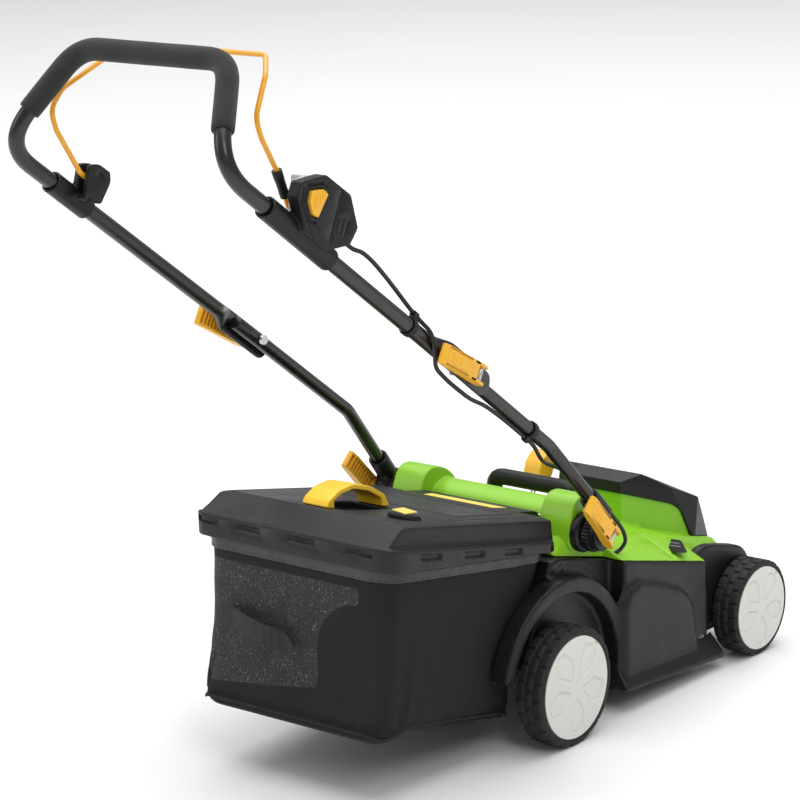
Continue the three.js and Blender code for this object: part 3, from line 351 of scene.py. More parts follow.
def vinyl(name):
    s = Shader(name)
    cloud = s.cloud(26, 4)
    s.set(Base_Color=s.mix(cloud, srgb(34, 34, 36), srgb(60, 60, 62)))
    s.set(Roughness=s.cloud(70, 3, 0.3, 0.7, 0.34, 0.5))
    s.set(Normal=s.bump(s.math("ADD", s.noise(160, 4), s.noise(700, 2)), 0.0003))
    return s.material


BLACK = moulded_plastic("black_plastic", srgb(24, 24, 25), 0.42)
HOOD = moulded_plastic("hood_plastic", srgb(26, 26, 28), 0.36)
LID = moulded_plastic("lid_plastic", srgb(34, 34, 36), 0.42)
GREEN = moulded_plastic("green_plastic", srgb(140, 200, 38), 0.34, wear=0.12, tone=0.04)
YELLOW = moulded_plastic("yellow_plastic", srgb(246, 184, 48), 0.36, wear=0.15, tone=0.05)
SUN_YELLOW = moulded_plastic("sun_yellow_plastic", srgb(250, 200, 40), 0.34, wear=0.15, tone=0.05)
PALE_YELLOW = moulded_plastic("pale_yellow_film", srgb(250, 222, 105), 0.4, wear=0.0, tone=0.04)
HUB = moulded_plastic("hub_plastic", srgb(216, 219, 212), 0.5, wear=0.1, tone=0.03)
PALE = moulded_plastic("pale_plastic", srgb(190, 191, 189), 0.42, wear=0.1, tone=0.04)
BATTERY = moulded_plastic("battery_plastic", srgb(24, 24, 26), 0.5)
# Near-black: painted shade on the recessed fill indicator and on the ribs in the handle well, and the real
# black print of the ledge label.
SHADE_AND_PRINT_BLACK = moulded_plastic("recess_shade_and_print_black", srgb(14, 14, 14), 0.6, wear=0.0)
THREAD = moulded_plastic("seam_thread", srgb(30, 30, 31), 0.7, wear=0.0)
RUBBER = tyre_rubber("tyre_rubber")
FOAM = grip_foam("grip_foam")
SHEATH = cable_sheath("cable_sheath")
CLOTH = bag_cloth("bag_cloth")
STRAP = webbing("strap_webbing")
VINYL = vinyl("bag_vinyl")
STEEL = plated_steel("plated_steel")
PAINT = painted_metal("painted_tube", srgb(9, 9, 10), 0.3)
BAIL_PAINT = painted_metal("painted_bail", srgb(243, 168, 22), 0.25)


# ---------------------------------------------------------------- mesh tools
def settle(obj, body, replaces=()):
    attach(obj, body)
    if replaces:
        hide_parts(*replaces)
    return obj


def smooth_faces(mesh, sharp=35):
    mesh.shade_smooth()
    mesh.set_sharp_from_angle(angle=math.radians(sharp))


def make(name, verts, faces, material, sharp=35):
    """An object from points in millimetres, its faces turned outwards."""
    mesh = bpy.data.meshes.new(name)
    mesh.from_pydata([tuple(c * MM for c in v) for v in verts], [], [tuple(f) for f in faces])
    bm = bmesh.new()
    bm.from_mesh(mesh)
    bmesh.ops.remove_doubles(bm, verts=bm.verts, dist=1e-6)
    bmesh.ops.recalc_face_normals(bm, faces=bm.faces)
    bm.to_mesh(mesh)
    bm.free()
    smooth_faces(mesh, sharp)
    mesh.materials.append(material)
    return linked(name, mesh)


def piece(name, part, look, sharp, body, replaced=()):
    """Makes one piece from its points and faces and puts it on its body."""
    return settle(make(name, *part, look, sharp), body, replaced)


def bevel(obj, width, segments=3, angle=32):
    made = obj.modifiers.new("bevel", "BEVEL")
    made.width, made.segments = width * MM, segments
    made.limit_method, made.angle_limit = "ANGLE", math.radians(angle)
    return obj


def joined(*parts):
    """One list of points and faces from several."""
    verts, faces = [], []
    for part_verts, part_faces in parts:
        base = len(verts)
        verts += list(part_verts)
        faces += [[i + base for i in f] for f in part_faces]
    return verts, faces


def mirrored_y(part):
    verts, faces = part
    return [mirror(v) for v in verts], [f[::-1] for f in faces]


def rounded_outline(points, radius, steps=4):
    """Corners of a closed outline replaced by curves that start `radius` before them."""
    out = []
    count = len(points)
    for i in range(count):
        here = Vector(points[i])
        before, after = Vector(points[i - 1]), Vector(points[(i + 1) % count])
        reach = [min(radius, (p - here).length * 0.48) for p in (before, after)]
        a = here + (before - here).normalized() * reach[0]
        b = here + (after - here).normalized() * reach[1]
        for k in range(steps + 1):
            t = k / steps
            out.append(a * (1 - t) ** 2 + here * 2 * t * (1 - t) + b * t**2)
    return out


def ring_faces(rings, count, closed=False):
    """Quads between rings of `count` points, and from the last ring to the first if closed."""
    faces = []
    for i in range(rings if closed else rings - 1):
        a, b = i * count, (i + 1) % rings * count
        for j in range(count):
            k = (j + 1) % count
            faces.append([a + j, a + k, b + k, b + j])
    return faces


def prism(points, low, high, place):
    """An outline between two heights; place turns (u, v, height) into a point."""
    count = len(points)
    verts = [place(p[0], p[1], h) for h in (low, high) for p in points]
    ends = [list(range(count))[::-1], list(range(count, 2 * count))]
    return verts, ring_faces(2, count) + ends


def side_view(x, z, y):
    return Vector((x, y, z))


def plain_view(u, v, h):
    return Vector((u, v, h))


def slab(x0, x1, y0, y1, z0, z1):
    return prism([(x0, z0), (x1, z0), (x1, z1), (x0, z1)], y0, y1, side_view)


def lathe(profile, centre, segments, shift=None):
    """A closed profile of (radius, y) turned about the Y axis through centre; shift moves its points."""
    x, z = centre
    verts = []
    for i in range(segments):
        angle = math.tau * i / segments
        for j, (r, y) in enumerate(profile):
            if shift:
                r, y = shift(j, r, y, angle)
            verts.append(Vector((x + r * math.cos(angle), y, z + r * math.sin(angle))))
    return verts, ring_faces(segments, len(profile), closed=True)


def bent_path(points, radii, steps=8):
    path = [Vector(points[0])]
    for i in range(1, len(points) - 1):
        here = Vector(points[i])
        back = (Vector(points[i - 1]) - here).normalized()
        ahead = (Vector(points[i + 1]) - here).normalized()
        reach = radii[i - 1] / math.tan(back.angle(ahead) / 2)
        a, b = here + back * reach, here + ahead * reach
        for k in range(steps + 1):
            t = k / steps
            path.append(a * (1 - t) ** 2 + here * 2 * t * (1 - t) + b * t**2)
    return path + [Vector(points[-1])]


def between(p, q, start, end, u):
    return p.lerp(q, (u - start) / (end - start))


def catmull(points, steps=6):
    """A centripetal Catmull-Rom curve through the points."""
    pts = [points[0] * 2 - points[1], *points, points[-1] * 2 - points[-2]]
    out = []
    for i in range(1, len(pts) - 2):
        p = pts[i - 1 : i + 3]
        t = [0.0]
        for a, b in zip(p, p[1:]):
            t.append(t[-1] + (b - a).length ** 0.5)
        for k in range(steps):
            u = t[1] + (t[2] - t[1]) * k / steps
            a = [between(p[j], p[j + 1], t[j], t[j + 1], u) for j in range(3)]
            b = [between(a[j], a[j + 1], t[j], t[j + 2], u) for j in range(2)]
            out.append(between(b[0], b[1], t[1], t[2], u))
    return out + [points[-1]]


def evenly(path, step):
    """The path again with points about `step` apart."""
    out = [path[0]]
    for a, b in zip(path, path[1:]):
        count = max(1, round((b - a).length / step))
        out += [a.lerp(b, k / count) for k in range(1, count + 1)]
    return out


def frames(path, normal=None):
    """Tangent, normal and side at each point, turned as little as possible from the last."""
    out = []
    tangent = (path[1] - path[0]).normalized()
    normal = normal or Vector((0.21, 0.43, 0.88)).cross(tangent).normalized()
    for i, here in enumerate(path):
        ahead = (path[min(i + 1, len(path) - 1)] - here).normalized()
        back = (here - path[max(i - 1, 0)]).normalized()
        heading = (ahead + back).normalized()
        normal = tangent.rotation_difference(heading) @ normal
        tangent = heading
        out.append((tangent.copy(), normal.copy(), tangent.cross(normal)))
    return out


def sweep(path, section, sides=24, normal=None, caps=(True, True)):
    """Rings of section(i, angle) = (along normal, along side) round each point of a path."""
    verts = []
    for i, (here, (_, n, b)) in enumerate(zip(path, frames(path, normal))):
        for k in range(sides):
            u, w = section(i, math.tau * k / sides)
            verts.append(here + n * u + b * w)
    faces = ring_faces(len(path), sides)
    if caps[0]:
        faces.append(list(range(sides))[::-1])
    if caps[1]:
        faces.append(list(range(len(verts) - sides, len(verts))))
    return verts, faces


def round_section(r, angle):
    return r * math.cos(angle), r * math.sin(angle)


def bar(path, radius, sides=24, ease=1.0):
    """A round bar along a path, its ends eased by a small chamfer."""
    points = [Vector(p) for p in path]
    start = (points[1] - points[0]).normalized()
    end = (points[-2] - points[-1]).normalized()
    head = [points[0], points[0] + start * ease * 0.3, points[0] + start * ease]
    foot = [points[-1] + end * ease, points[-1] + end * ease * 0.3, points[-1]]
    line = head + points[1:-1] + foot
    shrink = {0: ease, 1: ease * 0.3, len(line) - 2: ease * 0.3, len(line) - 1: ease}

    return sweep(line, lambda i, angle: round_section(radius - shrink.get(i, 0), angle), sides)


def copy_of(node):
    """A new object with a CAD node's mesh, its shared corners merged."""
    name = node + "_finished"
    bm = bmesh.new()
    bm.from_mesh(frame["nodes"][node].data)
    bmesh.ops.remove_doubles(bm, verts=bm.verts, dist=1e-5)
    bmesh.ops.dissolve_limit(bm, angle_limit=math.radians(1), verts=bm.verts, edges=bm.edges)
    mesh = bpy.data.meshes.new(name)
    bm.to_mesh(mesh)
    bm.free()
    return linked(name, mesh)


def rounded(node, material, width=0.5, segments=2):
    """A CAD node with its edges really rounded."""
    obj = copy_of(node)
    obj.data.materials.append(material)
    smooth_faces(obj.data, 40)
    bevel(obj, width, segments, 30)
    return settle(obj, BODY_OF[node], [node])


def evaluated(obj):
    """Bakes the object's modifiers into its mesh."""
    depsgraph = bpy.context.evaluated_depsgraph_get()
    mesh = bpy.data.meshes.new_from_object(obj.evaluated_get(depsgraph))
    obj.modifiers.clear()
    obj.data = mesh


def rows_of(mesh, kind):
    """Positions or normals of a mesh's points, one row each."""
    flat = np.zeros(len(mesh.vertices) * 3)
    mesh.vertices.foreach_get(kind, flat)
    return flat.reshape(-1, 3)


def moulded(node, material, voxel, keep, shape=None, smooth=5):
    """A CAD node as a moulding: its skin remade in cells of `voxel`, edges melted, then moved by
    shape(x, y, z, normals), which gives {axis: millimetres}, and thinned to `keep` of its faces."""
    obj = copy_of(node)
    melt = obj.modifiers.new("remesh", "REMESH")
    melt.mode, melt.voxel_size = "VOXEL", voxel * MM
    ease = obj.modifiers.new("smooth", "SMOOTH")
    ease.iterations, ease.factor = smooth, 0.6
    evaluated(obj)
    if shape:
        moved = rows_of(obj.data, "co") / MM
        changes = shape(*moved.T, rows_of(obj.data, "normal"))
        for axis, change in changes.items():
            moved[:, axis] += change
        obj.data.vertices.foreach_set("co", (moved * MM).ravel())
        obj.data.update()
    thin = obj.modifiers.new("thin", "DECIMATE")
    thin.ratio = keep
    evaluated(obj)
    obj.data.materials.clear()
    obj.data.materials.append(material)
    smooth_faces(obj.data, 60)
    return settle(obj, BODY_OF[node], [node])


def polyline_distance(u, v, points, closed=False):
    """Distance in a plane from the arrays u, v to a line of points."""
    best = np.full(u.shape, 1e9)
    ring = points + points[:1] if closed else points
    for (ax, ay), (bx, by) in zip(ring, ring[1:]):
        dx, dy = bx - ax, by - ay
        t = np.clip(((u - ax) * dx + (v - ay) * dy) / (dx * dx + dy * dy), 0, 1)
        best = np.minimum(best, np.hypot(u - ax - t * dx, v - ay - t * dy))
    return best


def trench(distance, half, soft=0.8):
    """1 inside a groove of the given half width, 0 outside, with soft walls."""
    t = np.clip((half + soft / 2 - distance) / soft, 0, 1)
    return t * t * (3 - 2 * t)


def grooves(u, v, rows):
    """Depth of the deepest of several grooves, each given as depth, half width and line."""
    cut = 0.0
    for depth, half, line in rows:
        cut = np.maximum(cut, depth * trench(polyline_distance(u, v, line), half))
    return cut


def box_distance(u, v, u0, u1, v0, v1):
    """How far outside a rectangle each point lies, negative inside."""
    du = np.abs(u - (u0 + u1) / 2) - (u1 - u0) / 2
    dv = np.abs(v - (v0 + v1) / 2) - (v1 - v0) / 2
    outside = np.hypot(np.maximum(du, 0), np.maximum(dv, 0))
    return outside + np.minimum(np.maximum(du, dv), 0)


# ---------------------------------------------------------------- wheels
PETALS = 5
PETAL = [(0.22, -0.03), (0.54, -0.225), (0.82, -0.165), (0.89, 0.0)]
RELIEF = {}
PETAL += [(u, -v) for u, v in PETAL[-2::-1]]


def petal_distance(u, v):
    """Signed distance from one petal's rounded outline, in shares of the cap's radius."""
    inside = np.ones(np.shape(u), bool)
    for (ax, ay), (bx, by) in zip(PETAL, PETAL[1:] + PETAL[:1]):
        inside &= (bx - ax) * (v - ay) - (by - ay) * (u - ax) >= 0
    away = polyline_distance(u, v, PETAL, closed=True)
    return np.where(inside, -away, away)


def cap_relief(share, angle):
    """Depth in mm of the hub cap's face at a share of its radius."""
    key = (round(share, 4), round(angle, 4))
    if key not in RELIEF:
        pitch = math.tau / PETALS
        turned = (angle + math.pi / 2 + pitch / 2) % pitch - pitch / 2
        u, v = share * math.cos(turned), share * math.sin(turned)
        depth = 0.9 * share * share
        if u > 0.15:
            d = float(petal_distance(np.array(u), np.array(v)))
            depth += 1.1 * min(1, max(0, -d / 0.02)) + 2.4 * math.exp(-((d / 0.015) ** 2))
        RELIEF[key] = depth
    return RELIEF[key]


def add_wheel(end, side, wheel):
    """A tyre and its hub cap, worked out for the left side and mirrored by the sign."""
    sign = dict(SIDES)[side]
    r, cap = wheel["z"], wheel["cap"]
    centre = (wheel["x"], wheel["z"])
    outer, inner = WHEEL_FACE_Y, WHEEL_FACE_Y - TYRE_WIDTH
    tread_y = list(np.linspace(outer - 3.5, inner + 3.5, 25))
    carcass = r - TREAD_DEPTH
    profile = [(cap - 7, inner + 1), (cap - 7, outer - 4.8), (cap + 0.6, outer - 4.8)]
    profile += [(cap + 0.8, outer - 0.6), (cap + 1.6, outer), (cap + 4.6, outer)]
    profile += [(cap + 5.0, outer - 0.5), (r - 5.5, outer - 0.6), (r - 4.2, outer - 1.2)]
    first = len(profile)
    profile += [(carcass, y) for y in tread_y]
    profile += [(r - 4.6, inner + 1), (r - 6, inner), (cap, inner)]
    last = first + len(tread_y) - 1
    rows = ((inner, inner + 15), (inner + 17.5, outer - 17.5), (outer - 15, outer + 1))
    pitch = math.tau / TREAD_BLOCKS

    def tread(j, radius, y, angle):
        if not first - 2 <= j <= last + 1:
            return radius, y
        height = 0.0
        for index, (y0, y1) in enumerate(rows):
            offset = 0.5 * pitch * (index % 2) + 0.1 * pitch * math.sin((y - y0) / (y1 - y0) * math.pi)
            phase = ((angle + offset) % pitch) / pitch - 0.5
            across = min(1, max(0, (0.43 - abs(phase)) / 0.05))
            along = min(1, max(0, (y - y0) / 0.9)) * min(1, max(0, (y1 - y) / 0.9))
            height = max(height, across * along)
        lift = TREAD_DEPTH if first <= j <= last else TREAD_DEPTH / 2
        return radius + lift * height, y

    verts, faces = lathe(profile, centre, TREAD_BLOCKS * 14, tread)
    verts = [Vector((v.x, v.y * sign, v.z)) for v in verts]
    body = f"wheel_{end}_{side}"
    node = f"tyre_{end}_{side}"
    piece(f"{node}_treaded", (verts, faces), RUBBER, 40, body, [node])

    face = outer + 1
    rim = cap - 7.35
    front = [((cap - 1.2) * k / HUB_RINGS, face) for k in range(1, HUB_RINGS + 1)]
    back = [(cap - 0.3, face - 1.0), (cap, face - 5.4), (rim, face - 5.4), (rim, inner + 2)]
    back += [(rim - 3.5, inner + 2), (rim - 3.5, face - 9), (17, face - 9), (17, inner + 4)]
    back += [(AXLE_R + 0.4, inner + 4), (AXLE_R + 0.4, face - 6)]
    notch, notch_half, notch_from, notch_depth = math.radians(48), 0.045, 0.945, 3.2

    def relief(j, radius, y, angle):
        if j >= HUB_RINGS:
            return radius, y
        share = radius / cap
        y -= cap_relief(share, angle)
        if share > notch_from and abs(angle - notch) < notch_half:
            y -= notch_depth
        return radius, y

    verts, faces = lathe(front + back, centre, HUB_TURNS, relief)
    count = len(front + back)
    x, z = centre
    faces = [f for f in faces if not (f[0] % count == count - 1)]
    verts += [Vector((x, face, z)), Vector((x, face - 6, z))]
    hub_front, hub_back = len(verts) - 2, len(verts) - 1
    for i in range(HUB_TURNS):
        a, b = i * count, (i + 1) % HUB_TURNS * count
        faces += [[a, b, hub_front], [b + count - 1, a + count - 1, hub_back]]
    verts = [Vector((v.x, v.y * sign, v.z)) for v in verts]
    node = f"hub_{end}_{side}"
    piece(f"{node}_cap", (verts, faces), HUB, 50, body, [node])


# ---------------------------------------------------------------- handle
def upper_tube_half():
    """Rings from the flattened end at the joint to the middle of the grip."""
    end_s, taper_from, taper_to = 46, -56, -100
    straight = [on_handle(s, 0, HANDLE_Y) for s in (46, 45, 43, 40, 36, 31, 20, 0, -30, -50)]
    straight += [on_handle(s, 0, HANDLE_Y) for s in np.linspace(taper_from, taper_to, 10)]
    corners = [on_handle(-110, 0, HANDLE_Y), LOW_BEND, GRIP_CORNER, Vector((-535, 0, 1059))]
    path = straight + evenly(bent_path(corners, [58, 52], 12), 30)

    def section(i, angle):
        s = (path[i] - UPPER_PIVOT).dot(ALONG) if i < len(straight) else taper_to
        round_share = min(1, max(0, (s - taper_from) / (taper_to - taper_from)))
        round_share = round_share**2 * (3 - 2 * round_share)
        flat = 1 - round_share
        tip = math.sqrt(max(0.03, 1 - max(0, (s - end_s + 14) / 14.2) ** 2))
        half_wide = TUBE_R * round_share + 17 * flat * (tip if flat == 1 else 1)
        half_thick = TUBE_R * round_share + 2.4 * flat
        power = 1 - 0.72 * flat
        c, n = math.cos(angle), math.sin(angle)
        u = math.copysign(abs(c) ** power, c) * half_wide
        w = math.copysign(abs(n) ** power, n) * half_thick
        return u, w + 13 * flat * outward

    frame_at_start = frames(path, ABOVE)[0]
    outward = math.copysign(1, frame_at_start[2].y)
    return sweep(path, section, 28, ABOVE, caps=(True, False))


def add_handle():
    half = upper_tube_half()
    whole_tube = joined(half, mirrored_y(half))
    piece("upper_tube_painted", whole_tube, PAINT, 45, "upper_handle", ["upper_tube"])

    bent = bent_path([GRIP_START, GRIP_CORNER, Vector((-535, 0, 1059))], [52], 14)
    line = evenly(bent, 9)
    whole = line + [mirror(p) for p in reversed(line[:-1])]
    last = len(whole) - 1

    def skin(i, angle):
        from_end = min(i, last - i)
        r = FOAM_R - (1.6 if from_end == 0 else 0.35 if from_end == 1 else 0)
        here = whole[i]
        r += 0.25 * noise.noise(Vector((here.y * 0.03, angle, i * 0.11)))
        return round_section(r, angle)

    first_ease, last_ease = whole[0].lerp(whole[1], 0.15), whole[-1].lerp(whole[-2], 0.15)
    whole = [whole[0], first_ease, *whole[1:-1], last_ease, whole[-1]]
    last = len(whole) - 1
    grip = make("foam_grip_sleeve", *sweep(whole, skin, 36), FOAM, 50)
    settle(grip, "upper_handle", ["foam_grip"])

    foot = bent_path([on_handle(-55, 0, LOWER_TUBE_Y), TUBE_BEND, TUBE_FOOT], [70], 14)
    for side, turn in (("left", Vector), ("right", mirror)):
        tube = bar([turn(p) for p in evenly(foot, 40)], LOWER_TUBE_R, 28, 1.2)
        node = f"lower_tube_{side}"
        piece(f"{node}_painted", tube, PAINT, 45, "lower_handle", [node])


def add_joint_hardware():
    """Black washers at the upper joint and toothed collars at the lower one."""
    washer = [(4.6, 206.2), (4.6, 207.6), (13, 207.6), (15, 206.9), (15, 206.2)]
    collar = [(16, 186.9), (16, 205), (24.0, 205), (24.0, 198.5), (25.4, 197.8), (25.4, 187.4)]
    teeth = 30

    def toothed(j, r, y, angle):
        return r + (1.1 * math.cos(teeth * angle) if j in (4, 5) else 0), y

    rings = (("joint_washer", UPPER_PIVOT, washer, 40, None),)
    rings += (("socket_teeth", LOWER_PIVOT, collar, teeth * 6, toothed),)
    for side, sign in SIDES:
        for name, at, profile, segments, shift in rings:
            turned = lathe([(r, y * sign) for r, y in profile], (at.x, at.z), segments, shift)
            piece(f"{name}_{side}", turned, BLACK, 40, "lower_handle")


def lever_parts(length):
    """A ribbed cam lever in its own axes: t along it, h outwards, w across."""
    def plate(outline, w0, w1):
        return prism(outline, w0, w1, plain_view)

    side_wall = [(-11, -5), (-6, -9.6), (9, -9.6), (30, -6), (length - 16, -4), (length - 3, 0)]
    side_wall += [(length, 5), (length - 6, 9), (30, 9.5), (4, 9.5), (-9, 6)]
    side_wall = [tuple(p) for p in rounded_outline(side_wall, 4, 3)]
    top = [(15, 6.3), (length - 4, 5.4), (length - 0.4, 5), (length - 6, 9), (30, 9.5), (15, 9.5)]
    parts = [plate(side_wall, -14, -9.6), plate(side_wall, 9.6, 14), plate(top, -13.9, 13.9)]
    parts.append(plate([(14.5, -6.5), (19.5, -6.2), (19.5, 9.3), (14.5, 9.3)], -13.8, 13.8))
    tip = [(length - 5, -2.2), (length - 2.5, -0.4), (length - 0.6, 5), (length - 5.5, 8.4)]
    parts.append(plate(tip, -13.8, 13.8))
    for t in np.arange(27, length - 8, 7.4):
        parts.append(plate([(t, -4.0), (t + 1.8, -4.0), (t + 1.8, 8), (t, 8)], -12, 12))
    raised = [(length * 0.36, 8.6), (length * 0.92, 8.2), (length * 0.89, 10.3), (length * 0.39, 10.7)]
    parts.append(plate(raised, -8.6, 8.6))
    for k in range(3):
        t = length * (0.60 + 0.085 * k)
        parts.append(plate([(t, 10), (t + 2.6, 10), (t + 2.0, 11.7), (t + 0.6, 11.7)], -7, 7))
    return joined(*parts)


LEVERS = {
    "upper": {"at": UPPER_PIVOT, "y": 218, "dir": Vector((-0.87, 0, 0.49)).normalized(), "length": 98},
    "lower": {"at": LOWER_PIVOT, "y": 223.5, "dir": Vector((-0.68, 0, 0.733)).normalized(), "length": 92},
}


def add_levers():
    for where, lever in LEVERS.items():
        across = lever["dir"].cross(Vector((0, 1, 0)))
        verts, faces = lever_parts(lever["length"])
        for side, sign in SIDES:
            placed = []
            for t, h, w in verts:
                p = lever["at"] + lever["dir"] * t + across * w
                p.y = sign * (lever["y"] + h)
                placed.append(p)
            node = f"cam_lever_{where}_{side}"
            obj = make(f"{node}_ribbed", placed, faces, YELLOW, 35)
            bevel(obj, 0.9, 2, 40)
            settle(obj, f"lever_{where}_{side}", [node])


# ---------------------------------------------------------------- operator's controls
BAIL_LEFT = [(-505, 172, 887), (-545, 172, 950), (-553, 172, 978), (-532, 170, 1003), (-470, 150, 1037)]
BAIL_RIGHT = [(-496, -172, 911), (-527, -172, 964), (-536, -172, 990), (-510, -168, 1040)]
BAIL_PIVOT = (-480, 868)
BUTTON_CENTRE, BUTTON_SCALE, BUTTON_BACK_Y = (-477, 877), 0.955, -211.5
BUTTON = [(-487, 896), (-465, 895), (-455, 887), (-477, 859), (-487, 865), (-492, 882)]


def add_bail():
    def end(sign):
        return [Vector((BAIL_PIVOT[0], sign * y, BAIL_PIVOT[1])) for y in (183.4, BAIL_Y)]

    points = end(1) + [Vector(p) for p in BAIL_LEFT]
    points += [Vector((-468, 128, 1058)), Vector((-468, -132, 1058))]
    points += [Vector(p) for p in reversed(BAIL_RIGHT)] + end(-1)[::-1]
    path = bent_path(points, [5, 20, 40, 26, 34, 14, 20, 22, 16, 30, 40, 12, 5], 8)
    rod = bar(path, BAIL_R, 18, 0.6)
    piece("bail_bar_painted", rod, BAIL_PAINT, 50, "bail", ["bail_bar"])

    low, high = Vector((-485.6, -BAIL_Y, 883)), Vector((-501, -BAIL_Y, 920))
    axis = (high - low).normalized()
    steps = [(0, 5.2), (0.6, 6.4), (9, 6.6), (12, 6.2), (26, 6.5), (28, 6.9)]
    steps += [(38.6, 7), (39.6, 6.6), (39.6, 4.3)]

    line = [low + axis * (t + 0.001 * i) for i, (t, _) in enumerate(steps)]
    boot = sweep(line, lambda i, angle: round_section(steps[i][1], angle), 24)
    piece("bail_boot_moulded", boot, BLACK, 40, "bail", ["bail_boot"])


def add_controls():
    def offset(points, amount):
        cx = sum(p[0] for p in points) / len(points)
        cz = sum(p[1] for p in points) / len(points)
        grown = []
        for px, pz in points:
            reach = math.hypot(px - cx, pz - cz)
            grown.append((cx + (px - cx) * (1 + amount / reach), cz + (pz - cz) * (1 + amount / reach)))
        return grown

    around = offset(BUTTON, 7.5)
    lines = [(2.6, 1.6, [around[i] for i in (1, 0, 5, 4, 3)])]
    lines.append((1.8, 0.9, [(-499, 902), (-503, 880), (-486, 838), (-473, 818)]))
    lines.append((1.8, 0.9, [(-504, 884), (-514, 868)]))
    lines.append((2.6, 1.5, [(-421, 895), (-452, 826)]))
    for k in range(3):
        lines.append((2.4, 1.4, [(-434 + 9 * k, 852 - 4 * k), (-441 + 9 * k, 836 - 4 * k)]))

    def face_grooves(x, y, z, normals):
        outer = (y < -212) & (normals[:, 1] < -0.5)
        return {1: np.where(outer, grooves(x, z, lines), 0)}

    moulded("switch_housing", BLACK, 1.0, 0.35, face_grooves, 4)
    moulded("switch_housing_inner", PALE, 1.1, 0.3, None, 4)

    def screws(x, y, z, normals):
        side = (np.abs(normals[:, 1]) > 0.6) & (y < 163)
        dip = 0.0
        for sx, sz in ((-479, 881), (-503, 851)):
            d = np.hypot(x - sx, z - sz)
            dip = dip + 2.2 * trench(d, 3.4) - 1.2 * trench(d, 1.8)
        return {1: np.where(side, dip, 0)}

    moulded("bail_bracket", BLACK, 1.0, 0.35, screws, 3)
    button = rounded("start_button", YELLOW, 0.8, 3)
    x, z = (c * MM for c in BUTTON_CENTRE)
    for vertex in button.data.vertices:
        vertex.co.x = x + (vertex.co.x - x) * BUTTON_SCALE
        vertex.co.z = z + (vertex.co.z - z) * BUTTON_SCALE
        vertex.co.y = min(vertex.co.y, BUTTON_BACK_Y * MM)
    ridges = []
    for k in range(5):
        u = -483 + 5.2 * k
        ridges.append(slab(u, u + 1.5, -219.3, -218.2, 873 + 2.4 * k, 889 + 0.6 * k))
    obj = make("start_button_ridges", *joined(*ridges), YELLOW, 35)
    bevel(obj, 0.35, 2)
    settle(obj, "start_button")


CABLE_ROUTE = [
    *[
        on_handle(s, d, y)
        for s, d, y in (
            (-332, 34, -188), (-304, 34, -190), (-286, 38, -191), (-262, 38, -191), (-232, 35, -190),
            (-196, 29, -190), (-156, 21, -191), (-128, 16, -193), (-112, 9, -202), (-98, -3, -205.5),
            (-84, -15, -203), (-64, -23, -196), (-34, -25, -192), (0, -25, -190), (40, -23, -188),
            (76, -17, -187), (120, -15, -187), (170, -15, -187), (214, -16, -186),
        )
    ],
    *[
        Vector(p)
        for p in (
            (36, -178, 426), (64, -168, 410), (104, -168, 391), (146, -176, 362), (176, -181, 332),
            (204, -185, 300), (224, -190, 272), (226, -192, 257), (221, -188, 246), (214, -182, 239.5),
        )
    ],
]
CABLE_PARTS = (
    ("cable_upper", 0, 10),
    ("cable_upper_fold", 10, 15),
    ("cable_lower", 15, 18),
    ("cable_lower_fold", 18, 28),
)


def add_cable():
    steps = 8
    line = catmull(CABLE_ROUTE, steps)
    for node, first, last in CABLE_PARTS:
        path = line[first * steps : last * steps + 1]
        verts, faces = bar(path, CABLE_R, 14, 0.2)
        obj = make(f"{node}_sheath", verts, faces, SHEATH, 60)
        if node == "cable_upper_fold":
            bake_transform(obj)
        elif node == "cable_lower_fold":
            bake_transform(obj)
        else:
            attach(obj, BODY_OF[node])
        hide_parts(node)


